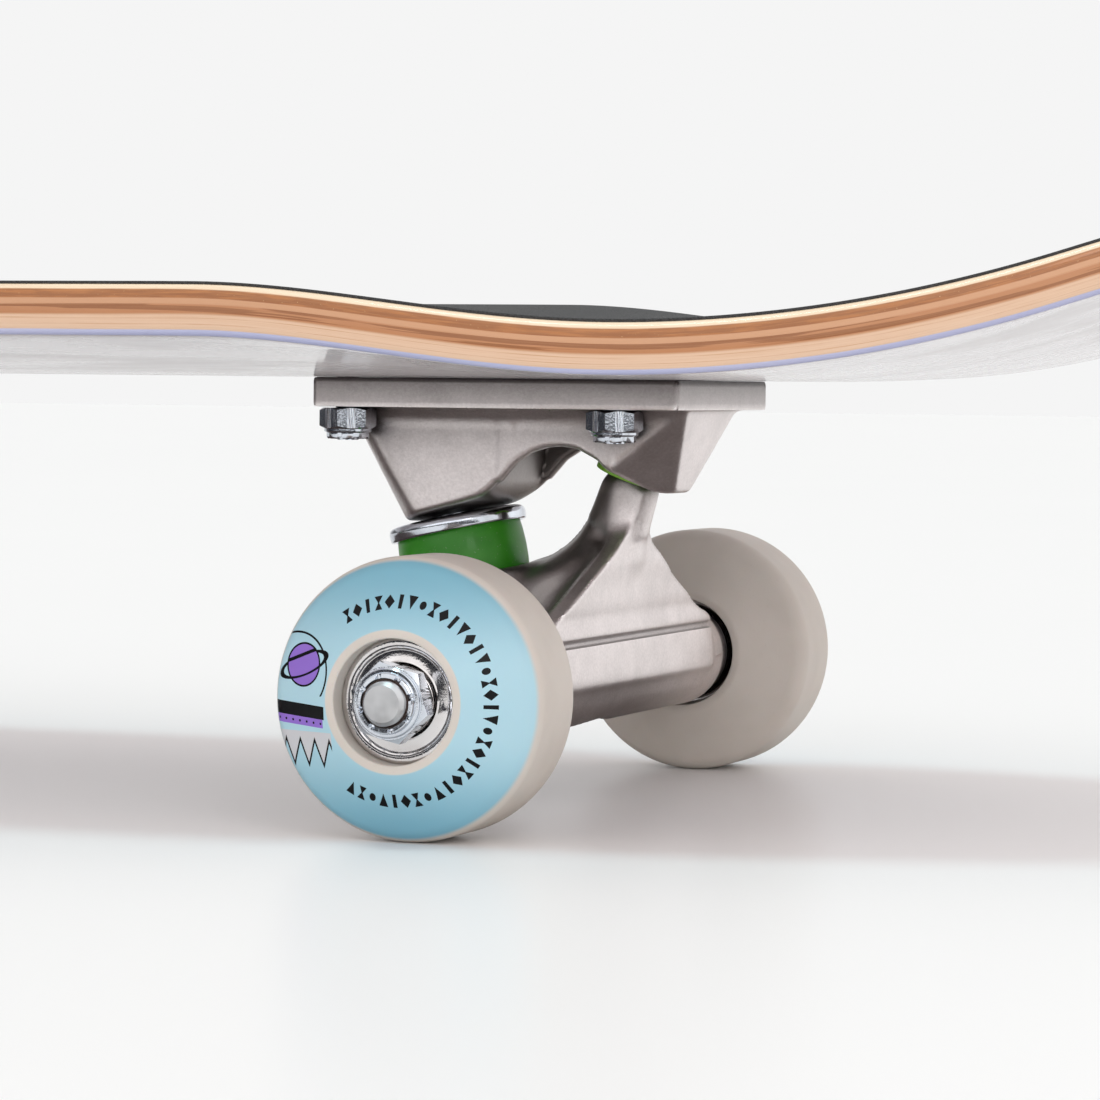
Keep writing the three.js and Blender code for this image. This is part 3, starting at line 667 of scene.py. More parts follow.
def veneer_deck():
    """Seven pressed veneers seen at the edge, a painted gloss underside and a bare top.

    The surface's V is the depth below the deck's top in millimetres and its U the way round the
    edge. Each veneer has its own tone; dark ones are broken into streaks along U. The flat underside's
    pale grey-white is partly the paint's own tone and partly a painted reflection of the bright floor,
    and its pinkish grey streaks are a painted reflection of the floor's shadow.
    """
    made = Finish("pressed maple veneers", "maple", Coat_Roughness=0.08, Coat_IOR=1.5)
    along, depth = made.surface()
    wobble = made.noise(made.joined(along * 0.02, depth * 0.25), 1, 2)
    depth_now = depth + (wobble - 0.5) * 0.5
    fibre = made.noise(made.joined(along * 0.06, depth * 5.5), 1, 4, 0.65)
    pores = made.noise(made.joined(along * 1.1, depth * 11), 1, 3, 0.7)
    streak = made.noise(made.joined(along * 0.028, depth * 1.1), 1, 2, 0.5)
    cream, tan, pale = (0.90, 0.72, 0.52), (0.64, 0.34, 0.185), (0.79, 0.55, 0.385)
    orange, brown = (0.45, 0.165, 0.043), (0.28, 0.095, 0.025)
    colour = made.blended(depth_now.ramp(1.0, 1.3), cream, orange)
    for start, end, tone in ((2.6, 2.9, tan), (3.7, 3.95, (0.51, 0.22, 0.092)), (5.3, 5.9, pale)):
        colour = made.blended(depth_now.ramp(start, end), colour, tone)
    mottled = made.noise(made.joined(along * 0.11, depth * 1.6), 1, 3, 0.6)
    first_dark = depth_now.between(1.15, 2.75) * mottled.ramp(0.36, 0.58)
    second_dark = depth_now.between(3.8, 5.3) * streak.ramp(0.46, 0.51)
    colour = made.blended((first_dark * 0.7 + second_dark * 0.85).at_most(1.0), colour, brown)
    glue_line = depth_now.between(6.15, 6.3) + depth_now.between(7.2, 7.33) + depth_now.between(3.65, 3.78)
    colour = made.blended(glue_line * fibre.ramp(0.35, 0.6) * 0.5, colour, (0.50, 0.22, 0.09))
    colour = made.blended(fibre.ramp(0.4, 0.75) * 0.3, colour, (0.58, 0.30, 0.13))
    colour = made.blended(pores.ramp(0.62, 0.8) * 0.25, colour, (0.36, 0.17, 0.07))
    fleck = made.noise(made.joined(along * 2.6, depth * 2.2), 1, 2, 0.5)
    colour = made.blended(fleck.ramp(0.68, 0.76) * first_dark * 0.6, colour, (0.85, 0.60, 0.30))
    cloud = made.noise(made.stretched(made.place, (6, 30, 30)), 1, 4, 0.6)
    paint = made.blended(cloud.ramp(0.35, 0.7), (0.50, 0.52, 0.76), (0.58, 0.59, 0.79))
    # Painted reflection: pinkish grey streaks on the flat underside stand for the floor's shadow seen in
    # the gloss.
    painted_reflection_smear = made.noise(made.stretched(made.place, (9, 60, 60), (0, 0, 0.2)), 1, 4, 0.7, 1.5)
    # The flat underside turns pale grey-white: partly the paint's own tone, partly a painted reflection of
    # the bright floor.
    under = depth.ramp(8.9, 8.99)
    paint = made.blended(under, paint, (0.72, 0.685, 0.71))
    paint = made.blended(painted_reflection_smear.ramp(0.45, 0.65) * 0.45 * under, paint, (0.52, 0.475, 0.475))
    painted = (depth + (wobble - 0.5) * 0.35).ramp(8.0, 8.2)
    made.set("Base Color", made.blended(painted, colour, paint))
    made.set("Roughness", painted.ramp(0, 1, 0.38, 0.2) + fibre * 0.1 + painted_reflection_smear.ramp(0.4, 0.7) * under * 0.14)
    made.set("Coat Weight", painted.ramp(0, 1, 0.4, 0.6))
    made.bump((fibre * 0.4 + pores * 0.6) * painted.ramp(0, 1, 1, 0) + cloud * painted * 0.2, 0.00008, 0.5)
    return made


INK = (0.004, 0.004, 0.005)
PRINT_PURPLE = (0.30, 0.17, 0.64)


def marks_round_face(radius, angle):
    """A band of plain marks round the face: each cell of the band holds a bar, an hourglass, a wedge,
    a diamond or a dot, chosen by the golden ratio's steps so that none repeats in a row."""
    step = (angle + 129.0) / 6.9
    cell = step.floor()
    across, up = step.fraction() - 0.5, (radius - 17.3) / 2.4
    chance = (cell * 0.618).fraction()
    reach = abs(across)
    tall = abs(up) < 0.5
    kinds = (
        (reach < 0.17) * tall * chance.between(-0.1, 0.22)
        + (reach < abs(up) * 0.6 + 0.05) * tall * chance.between(0.22, 0.44)
        + (reach < (up + 0.5) * 0.38) * tall * chance.between(0.44, 0.62)
        + ((reach * 1.1 + abs(up)) < 0.5) * chance.between(0.62, 0.84)
        + ((across * across * 1.1 + up * up) < 0.09) * chance.between(0.84, 1.1)
    )
    gap = abs(((cell + 0.5) / 8).fraction() - 0.5) < 0.44
    return kinds * angle.between(-122.1, 126.3) * gap


def ringed_planet(u, v):
    """A disc, and the lines drawn on it: its outline, a belt, and a tilted ring that passes behind."""
    radius = 3.7
    across, up = u + 17.9, v - 5.8
    globe = length(across, up)
    disc = globe < radius
    tilt_u, tilt_v = across * 0.94 + up * 0.34, up * 0.94 - across * 0.34
    hoop = length(tilt_u, tilt_v * 3.0).between(4.8, 5.9)
    hoop = hoop * ((tilt_v < 0.0) + (globe > radius)).at_most(1.0)
    belt = (abs(tilt_v - 1.7) < 0.3) * disc
    return disc, (belt + (abs(globe - radius) < 0.17) + hoop).at_most(1.0)


def striped_dish(u, v):
    """A dish under a round canopy: its purple skirt, its zigzag trail, and the lines of all three."""
    level = v + u * 0.06
    hull_shape = (u < -12.9) * (level + 3.2).between(-1.15, 1.15)
    skirt = (u < -13.2) * (level + 5.1).between(-0.75, 0.75)
    along = (u * 0.62).fraction() - 0.5
    stud = along * along * 2.6 + (level + 5.1) ** 2.0
    canopy = abs(length(u + 19.5, v - 4.4) - 7.0) < 0.18
    spikes = v + abs((u * 0.3 + 0.1).fraction() - 0.5) * 9.0 + 7.2
    trail = (u < -11.5) * (v < -5.8) * (spikes > 0.0)
    trail_edge = (u < -11.5) * (abs(spikes) < 0.5)
    return skirt, trail, hull_shape + (stud < 0.05) * skirt + canopy * (v > 0.5) + trail_edge


def printed_urethane():
    """Cast urethane with one printed face.

    The surface's U and V are the place on the outer face in millimetres, right and up, and both lie
    far outside it elsewhere. A pale blue ground lies between two radii, and darkens upwards and
    downwards. On it are a band of plain marks, a ringed planet, and a striped dish with its trail.
    """
    made = Finish("printed urethane", "urethane", Subsurface_Scale=0.003, Subsurface_Weight=0.06,
                  Specular_IOR_Level=0.16)
    u, v = made.surface()
    radius = length(u, v)
    angle = v.angle_from(u) * (180 / math.pi)

    cloud = made.noise(made.place, 45, 3, 0.6)
    marks = made.group(HANDLING, Vector=made.place, Amount=0.7)
    body = made.blended(cloud.ramp(0.3, 0.7), (0.64, 0.595, 0.54), (0.70, 0.655, 0.60))
    body = made.blended(marks["Dust"] * 0.3, body, (0.48, 0.43, 0.38))
    ground = radius.ramp(12.4, 12.7) * radius.ramp(23.9, 24.6, 1, 0)
    upright = (abs(v) / 24).ramp(0.2, 1.0)
    blue = made.blended(upright, (0.45, 0.69, 0.79), (0.21, 0.46, 0.58))

    black = marks_round_face(radius, angle).at_most(1.0)
    disc, planet_lines = ringed_planet(u, v)
    skirt, trail, dish_lines = striped_dish(u, v)
    colour = made.blended(ground, body, blue)
    for shape, paint in ((trail, (0.62, 0.63, 0.66)), (disc, PRINT_PURPLE), (planet_lines, INK),
                         (skirt, PRINT_PURPLE), ((dish_lines + black).at_most(1.0), INK)):
        colour = made.blended(shape * ground, colour, paint)
    made.set("Base Color", colour)
    made.set("Roughness", cloud * 0.14 + marks["Stain"] * 0.12 - ground * 0.1 + 0.38)
    made.bump(made.noise(made.place, 900, 3) + marks["Scratches"] * 0.4 + ground * 0.3, 0.00003, 0.5)
    return made


CAST = cast_metal()
ZINC = plated_steel("bright zinc plate", "zinc_steel", (0.70, 0.74, 0.80), (0.60, 0.63, 0.69), 0.09)
CHROME = plated_steel("polished bearing steel", "bearing_steel", (0.72, 0.70, 0.70), (0.60, 0.57, 0.56),
                      0.06)
CUT_STEEL = plated_steel("sheared rod end", "zinc_steel", (0.66, 0.66, 0.67), (0.42, 0.42, 0.43), 0.42)
GRIT = grip_grit()
VENEERS = veneer_deck()
URETHANE = printed_urethane()
BUSHING = moulded("green bushing urethane", "bushing", (0.045, 0.36, 0.008), (0.025, 0.27, 0.005), 0.34,
                  Subsurface_Weight=0.2, Subsurface_Scale=0.006, Subsurface_Radius=(0.1, 1.0, 0.1),
                  Coat_Weight=0.08)
CUP = moulded("leaf green pivot cup", "cup_plastic", (0.30, 0.62, 0.07), (0.22, 0.50, 0.05), 0.35,
              Subsurface_Weight=0.1, Subsurface_Scale=0.003)
NYLON = moulded("brown nylon insert", "zinc_steel", (0.045, 0.022, 0.015), (0.02, 0.01, 0.008), 0.35)


# ---- Deck and grip sheet ------------------------------------------------------------------------


def kick_rise(x):
    """How far the deck's middle line has risen at x: an arc that starts the kick, then a straight."""
    run = np.maximum(0, np.abs(x) - AXLE_X - KICK_START)
    arc_run = KICK_RADIUS * math.sin(KICK_ANGLE)
    arc = KICK_RADIUS - np.sqrt(np.maximum(KICK_RADIUS**2 - run**2, 0))
    straight = KICK_RADIUS * (1 - math.cos(KICK_ANGLE)) + (run - arc_run) * math.tan(KICK_ANGLE)
    return np.where(run < arc_run, arc, straight)


def concave_rise(x, y):
    """How far the deck rises from its flat middle to a rail: a power of the distance across, full
    between the trucks and almost gone over the outer bolts and in the kick."""
    between_trucks = smooth((AXLE_X - np.abs(x) + CONCAVE_FADE) / (2 * CONCAVE_FADE))
    rail = END_CONCAVE_RISE + (CONCAVE_RISE - END_CONCAVE_RISE) * between_trucks
    across = np.maximum(0, np.abs(y) - CONCAVE_FLAT) / (BOARD_WIDTH / 2 - CONCAVE_FLAT)
    return rail * across**CONCAVE_POWER


def outline_points(inset):
    """The deck's plan: straight rails, then a superellipse round each end, a step of about 2.5 mm apart."""
    nose = np.linspace(0, math.pi / 2, 97)
    reach = (BOARD_LENGTH / 2 - NOSE_START) * np.sin(nose) ** (2 / NOSE_POWER)
    width = BOARD_WIDTH / 2 * np.cos(nose).clip(0) ** (2 / NOSE_POWER)
    quarter = np.vstack([[0, -BOARD_WIDTH / 2], np.stack([NOSE_START + reach, -width], 1)])
    walked = np.concatenate([[0], np.cumsum(np.linalg.norm(np.diff(quarter, axis=0), axis=1))])
    even = np.linspace(0, walked[-1], 181)
    quarter = np.stack([np.interp(even, walked, quarter[:, i]) for i in (0, 1)], 1)
    side = np.vstack([quarter[::-1] * [-1, 1], quarter[1:]])
    points = np.vstack([side, side[-2::-1] * [1, -1]])
    even = np.linspace(0, 4 * walked[-1], len(points))
    tangent = np.roll(points[:-1], -1, 0) - np.roll(points[:-1], 1, 0)
    tangent = np.vstack([tangent, tangent[:1]])
    normal = np.stack([tangent[:, 1], -tangent[:, 0]], 1)
    normal /= np.linalg.norm(normal, axis=1, keepdims=True)
    return points - normal * inset, normal, even


def pressed_sheet(name, low, high, inset, top_round, bottom_round, steps):
    """A sheet bent to the deck's form.

    One parameter goes round the outline and the other from the middle line over the top, round the
    edge and back under. Inside the edge a point lies between the outline and the middle line. The
    edge is two quarter ellipses. Every point is lifted by the kick and the concave.
    """
    edge, normal, walked = outline_points(inset)
    depth_total = high - low
    deepest = max(top_round, bottom_round)
    inner = edge - normal * deepest
    spine = np.stack([np.clip(inner[:, 0], -250, 250), np.zeros(len(inner))], 1)
    t = np.linspace(0, 1, 26)[:, None, None]
    top_face = spine + (inner - spine) * t
    turn = np.linspace(0, math.pi / 2, steps)[:, None, None]
    upper = edge + normal * (top_round * (np.sin(turn) - 1))
    lower = edge + normal * (bottom_round * (np.cos(turn) - 1))
    plan = np.concatenate([top_face, upper, lower, top_face[::-1]])
    flat = np.ones(len(edge))
    depth = np.concatenate([
        0 * t[:, :, 0] * flat,
        top_round * (1 - np.cos(turn[:, :, 0])) * flat,
        (depth_total - bottom_round + bottom_round * np.sin(turn[:, :, 0])) * flat,
        depth_total + 0 * t[:, :, 0] * flat,
    ])
    x, y = plan[..., 0], plan[..., 1]
    z = DECK_UNDERSIDE + high + kick_rise(x) + concave_rise(x, y) - depth
    uv = np.stack([np.broadcast_to(walked, depth.shape), depth], -1)
    return grid_mesh(name, np.stack([x, y, z], -1), uv)


def bolt_places():
    """The middle of each deck bolt, from the frame."""
    nodes = [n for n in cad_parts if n.endswith("_bolt")]
    boxes = {n: box_mm(n) for n in nodes}
    return {n: (low + high) / 2 for n, (low, high) in boxes.items()}


def drilled(mesh, name, cutter_mesh):
    """The mesh with every cutter taken out of it."""
    whole = bpy.data.objects.new(name, mesh)
    cutter = bpy.data.objects.new(name + "_cutter", cutter_mesh)
    for o in (whole, cutter):
        bpy.context.scene.collection.objects.link(o)
    cut = whole.modifiers.new("holes", "BOOLEAN")
    cut.operation, cut.solver, cut.object = "DIFFERENCE", "MANIFOLD", cutter
    done = bpy.data.meshes.new_from_object(whole.evaluated_get(bpy.context.evaluated_depsgraph_get()))
    for o in (whole, cutter):
        bpy.data.objects.remove(o)
    done.materials.clear()
    return done


def hole_cutters():
    """Countersunk drills at the eight bolts, as one mesh: shank, cone, then a straight mouth."""
    shank, mouth, cone, depth = 2.7, 4.9, 2.6, 20
    top = DECK_UNDERSIDE + DECK_THICKNESS
    profile = [(0, top - depth), (shank, top - depth), (shank, top - cone), (mouth, top + 0.1),
               (mouth, top + 4), (0, top + 4)]
    work = bmesh.new()
    for x, y, _ in bolt_places().values():
        drill = grid_mesh("drill", turned_rows(profile, 48) + [x, y, 0])
        work.from_mesh(drill)
        bpy.data.meshes.remove(drill)
    cutters = bpy.data.meshes.new("drills")
    work.to_mesh(cutters)
    work.free()
    return cutters


def build_deck():
    """The pressed veneers and the grip sheet on them, both with countersunk holes."""
    deck = pressed_sheet("deck_veneers", 0, DECK_THICKNESS, 0, 2.0, 2.3, 8)
    grip_top = DECK_THICKNESS + GRIP_LIFT + GRIP_THICKNESS - 0.25
    grip = pressed_sheet("grip_sheet", DECK_THICKNESS - 0.1, grip_top, GRIP_INSET + 1.0, 0.25, 0.12, 4)
    for sheet, finish, node in ((deck, VENEERS, "deck"), (grip, GRIT, "grip_tape")):
        name = sheet.name
        piece(name, drilled(sheet, name, hole_cutters()), finish, "board", node, 40)


# ---- Threads, nuts and bolts --------------------------------------------------------------------

HEXAGON_CONE = math.tan(math.radians(30))
NUT_SIZES = ("across_flats", "hex_height", "collar", "crown", "insert", "bore")
DECK_NUT = dict(zip(NUT_SIZES, (9.5, 3.9, 4.55, 4.1, 3.3, 2.45)))
AXLE_NUT = dict(zip(NUT_SIZES, (12.7, 4.0, 6.0, 5.3, 4.3, 4.05)))
KINGPIN_NUT = dict(zip(NUT_SIZES, (14.3, 5.0, 6.6, 6.2, 5.3, 4.8)))


def hexagon_radius(angle, across_flats):
    """The distance to a hexagon's side at each angle: half the flats over the cosine from its middle."""
    return across_flats / 2 / np.cos((angle + math.pi / 6) % (math.pi / 3) - math.pi / 6)


def saw(turns):
    """A thread's form: a triangle wave between 0 at the root and 1 at the crest."""
    return 1 - 2 * np.abs(turns % 1 - 0.5)


def rod_grid(radius, low, high, pitch, threads, chamfer=0.5, depth=0.55):
    """A rod along +Z with chamfered ends and helical threads.

    The radius falls by the thread's depth times the saw wave of height over pitch less the share of
    a turn, inside each threaded stretch, and fades out over one pitch at its ends.
    """
    sides = 60
    height = [np.array([low + chamfer, high - chamfer])]
    for start, end in threads:
        height.append(np.arange(max(start, low + chamfer), min(end, high - chamfer), pitch / 6))
    height = np.unique(np.round(np.concatenate(height), 4))
    angle = np.linspace(0, TURN, sides + 1)
    wave = 1 - saw(height[:, None] / pitch - angle / TURN)
    inside = np.zeros(len(height))
    for start, end in threads:
        at_start, at_end = int(start <= low), int(end >= high)
        fade_in = np.clip((height - start) / pitch + at_start, 0, 1)
        fade_out = np.clip((end - height) / pitch + at_end, 0, 1)
        inside = np.maximum(inside, fade_in * fade_out)
    body = radius - depth * wave * inside[:, None]
    neck = radius - chamfer
    return turned_rows([(0, low), (neck, low), *zip(body, height), (neck, high), (0, high)], sides)


def nut_grids(across_flats, hex_height, collar, crown, insert, bore, total):
    """A lock nut along +Z with its bearing face at 0, and its nylon insert.

    Rows of the outline are carried round: the hexagon's corners are cut by a 30 degree cone at both
    faces, so a corner's height is the hexagon's less how far it stands out times the tangent of 30
    degrees. Over it come a collar and a crown that is rolled over the insert, with eight crimps.
    """
    sides = 144
    angle = np.linspace(0, TURN, sides + 1)
    hexagon = hexagon_radius(angle, across_flats)
    rim = across_flats / 2
    cut = np.maximum(hexagon - rim, 0) * HEXAGON_CONE
    flat = np.minimum(hexagon, rim)
    crimp = np.clip(np.cos(8 * angle) * 3 - 1.7, 0, 1)
    metal = turned_rows([
        (bore, 0.5), (bore + 0.5, 0.0), (flat, 0.0), (flat + 0.02, 0.02), (hexagon, cut + 0.05),
        (hexagon, hex_height - cut - 0.05), (flat + 0.02, hex_height - 0.02), (flat, hex_height),
        (collar + 0.12, hex_height), (collar, hex_height + 0.12), (collar, hex_height + 0.55),
        (collar - 0.15, hex_height + 0.7), (crown + 0.1, hex_height + 0.72), (crown, hex_height + 0.85),
        (crown - 0.1 * crimp, total - 0.4), (crown - 0.12 - 0.3 * crimp, total - 0.12 - 0.3 * crimp),
        (crown - 0.3 - 0.1 * crimp, total - 0.55 * crimp), (insert + 0.15, total - 0.03 - 0.55 * crimp),
        (insert, total - 0.25 - 0.4 * crimp),
        (insert, total - 0.9), (bore, total - 1.0), (bore, 0.5),
    ], sides)
    seat = total - 0.9
    nylon = ring_grid([(bore - 0.2, seat), (insert - 0.03, seat), (insert - 0.03, total - 0.3),
                       (bore - 0.2, total - 0.42)], 0.12, 72)
    return metal, nylon


def add_nut(node, sizes, total, put, body):
    """A lock nut and its insert in place of a CAD nut. Put takes them from +Z to where they sit."""
    metal, insert = nut_grids(**sizes, total=total)
    piece(f"{node}_body", put(metal), ZINC, body, node, 28)
    piece(f"{node}_insert", put(insert), NYLON, body, None, 28)


def turned_about(angle):
    """A frame at the origin, turned about +Z."""
    c, s = math.cos(angle), math.sin(angle)
    return np.array([[c, -s, 0], [s, c, 0], [0, 0, 1]]), np.zeros(3)


def turned_down(origin, tilt=0.0):
    """A frame whose +Z points the other way along a tilted axis."""
    axes, origin = frame_at(origin, tilt)
    return axes @ np.diag([1, -1, -1]), origin


def deck_bolt_grid(top, bottom):
    """A countersunk bolt: a hexagon socket, the flat head, its cone, the shank and threads."""
    radius, head, cone, pitch, sides = 2.4, 4.6, 2.3, 0.8, 72
    angle = np.linspace(0, TURN, sides + 1)
    socket = hexagon_radius(angle, 3.0)
    height = np.arange(top - 6, bottom + 0.4, -pitch / 6)
    wave = 1 - saw(height[:, None] / pitch - angle / TURN)
    return turned_rows([
        (0, top - 1.7), (0.6 * socket, top - 1.55), (socket, top - 1.3), (socket, top - 0.12),
        (socket + 0.12, top), (head - 0.2, top), (head, top - 0.2), (head, top - 0.6),
        (radius, top - 0.6 - cone),
        *zip(radius - 0.4 * wave, height), (radius - 0.35, bottom), (0, bottom),
    ], sides)


def add_deck_fasteners(end, direction):
    """The four countersunk bolts of one truck and the lock nuts under its plate."""
    for name, (x, y, _) in bolt_places().items():
        if not name.startswith(end):
            continue
        low, high = box_mm(name)
        bolt = deck_bolt_grid(high[2], low[2] + 0.8) + [x, y, 0]
        piece(f"{name}_machined", bolt, ZINC, "board", name, 30)
        nut = name[: -len("bolt")] + "lock_nut"
        nut_low, nut_high = box_mm(nut)
        centre = (nut_low + nut_high) / 2
        seat = np.array([(centre[0] - direction * AXLE_X) * direction, centre[1] * direction, nut_high[2]])

        def put(local, where=turned_down(seat)):
            return truck_points(placed(local, where), direction)

        add_nut(nut, DECK_NUT, nut_high[2] - nut_low[2], put, "board")


# ---- Wheels and bearings ------------------------------------------------------------------------

PRINT_TURN = {"front_right": 0.0, "front_left": 1.9, "rear_right": 3.6, "rear_left": 5.1}
NOWHERE = 200.0  # a place far outside the printed face
BEARING_OFFSET = 8.5  # from the wheel's middle to a bearing's
TREAD_HALF_WIDTH = 6.5
NUT_TURN = turned_about(0.26)


def wheel_outline():
    """Half of a wheel's outline from its bearing seat to the middle of its tread (radius, height).

    Shoulder, bearing seat, hub rim, a straight face down to the corner, a corner arc, and the tread.
    """
    corner, face_height, steps = 4.6, WHEEL_HALF_WIDTH, 5
    turn = np.linspace(math.radians(63), 0, 14)
    arc = [WHEEL_RADIUS, TREAD_HALF_WIDTH] + corner * np.stack([np.cos(turn) - 1, np.sin(turn)], 1)
    hub = [(9.6, -1), (9.6, 4.7), (11, 4.7), (11, face_height), (12.5, face_height), arc[0]]
    hub = filleted(hub, [0, 0.3, 0.2, 0.35, 0.5, 0], steps)[steps + 1 : -steps - 1]
    face = np.linspace(hub[-1], arc[0], 14)[1:-1]
    tread = np.linspace((WHEEL_RADIUS, TREAD_HALF_WIDTH), (WHEEL_RADIUS, 0), 5)[1:]
    return np.vstack([hub, face, arc, tread])


def laid_along_y(grid, side, truck_side_y):
    """Turns a piece from +Z to point away from the board's middle, at a place along the axle."""
    x, y, h = grid[..., 0], grid[..., 1], grid[..., 2]
    return np.stack([-side * x, side * h + truck_side_y, y + AXLE_HEIGHT], -1)


def add_wheel(end, side_name, direction):
    """A wheel with its bearings, the spacer between them, both speed rings and the axle nut."""
    side = {"left": 1, "right": -1}[side_name] * direction  # in the truck's own frame
    name = f"{end}_{side_name}"
    wheel, hanger = f"{name}_wheel", f"{end}_hanger"

    def put(local, height=0.0):
        return truck_points(laid_along_y(local + [0, 0, height], side, side * WHEEL_OFFSET), direction)

    half = wheel_outline()
    outline = np.vstack([half, (half * [1, -1])[-2::-1], half[:1]])
    grid = turned_grid(outline[:, 0], outline[:, 1], 160)
    on_face = (outline[:, 1] > 0) & (outline[:, 0] > 11.2)
    seen = np.where(on_face[:, None], outline[:, :1], NOWHERE)
    angle = np.linspace(0, TURN, 161) + PRINT_TURN[name]
    uv = np.stack([seen * np.cos(angle), seen * np.sin(angle)], -1)
    piece(f"{name}_tyre", put(grid), URETHANE, wheel, wheel, 30, uv)

    for where, centre in (("outer", BEARING_OFFSET), ("inner", -BEARING_OFFSET)):
        bearing = f"{name}_{where}_bearing"
        node = f"{name}_bearing_{where}"
        piece(f"{bearing}_race", put(bearing_race_grid(), centre), CHROME, wheel, node, 30)
        piece(f"{bearing}_inner_race", put(inner_race_grid(), centre), CHROME, hanger)
    ring = ring_grid([(4.05, 0), (6.2, 0), (6.2, 1), (4.05, 1)], 0.2, 72)
    piece(f"{name}_outer_ring", put(ring, 12.15), ZINC, hanger, f"{name}_speed_ring")
    piece(f"{name}_inner_ring", put(ring, -13.1), ZINC, hanger)
    spacer = ring_grid([(4.05, -4.9), (5.6, -4.9), (5.6, 4.9), (4.05, 4.9)], 0.3, 48)
    piece(f"{name}_spacer", put(spacer), CUT_STEEL, hanger)
    nut_low, nut_high = box_mm(f"{name}_axle_nut")
    add_nut(f"{name}_axle_nut", AXLE_NUT, nut_high[1] - nut_low[1],
            lambda local: put(placed(local, NUT_TURN), 13.6), hanger)


def bearing_race_grid():
    """The outer race with both shields: a closed outline carried round, with 20 crimps where each
    shield is pressed into the race, as short dips of its height round the rim."""
    upper = [(6.72, 2.8), (6.72, 3.1), (7.0, 2.95), (8.9, 2.75), (9.2, 3.05), (9.55, 3.1), (9.65, 3.5),
             (10.62, 3.5), (10.95, 3.2)]
    upper = np.array([(8.5, 2.45), *upper])
    grid = ring_grid(np.vstack([upper, upper[::-1] * [1, -1]]), 0.12, 160, 3)
    angle = np.linspace(0, TURN, 161)
    radius = np.hypot(grid[..., 0], grid[..., 1])
    dip = 0.16 * np.clip(np.cos(20 * angle) * 4 - 2.6, 0, 1)
    at_rim = np.clip(1 - np.abs(radius - 9.35) / 0.3, 0, 1) * (np.abs(grid[..., 2]) > 2.6)
    grid[..., 2] -= np.sign(grid[..., 2]) * dip * at_rim
    return grid


def inner_race_grid():
    """The inner race: a ring with a groove for the balls round its outside."""
    upper = np.array([(5.4, 1.6), (6.25, 2.4), (6.25, 3.3), (6.05, 3.5), (4.03, 3.5)])
    return ring_grid(np.vstack([upper[::-1], upper * [1, -1]]), 0.15, 96)


# ---- Kingpin stack ------------------------------------------------------------------------------

KINGPIN_BORE = 5.05


def cup_washer_grid(radius, web, rim_depth):
    """A cup washer: a flat web with its edge rolled down over the end of a bushing."""
    outline = [(KINGPIN_BORE, 0), (radius - 1.6, 0), (radius - 0.4, -0.35), (radius, -1.3),
               (radius - 0.15, -rim_depth), (radius - 1.0, -rim_depth), (radius - 1.15, -web),
               (KINGPIN_BORE, -web)]
    return ring_grid(outline, 0.5, 120, 6)


def bushing_grid(rows):
    """A bushing: its outline is a smooth curve through the given rows of (radius, height) with a
    small round at both ends, and a straight bore."""
    return ring_grid([(KINGPIN_BORE, rows[0][1]), *rows, (KINGPIN_BORE, rows[-1][1])], 0.7, 96, 6)


def kingpin_head_grid():
    """The kingpin's hexagon head, with its upper corners cut by a 30 degree cone."""
    low, high, rim, sides = 34.5, 40, 7.0, 144
    hexagon = hexagon_radius(np.linspace(0, TURN, sides + 1), 14.3)
    cut = np.maximum(hexagon - 7.15, 0) * HEXAGON_CONE
    rows = [(0, low), (rim, low), (hexagon, low + 0.1), (hexagon, high - cut), (rim, high), (0, high)]
    return turned_rows(rows, sides)


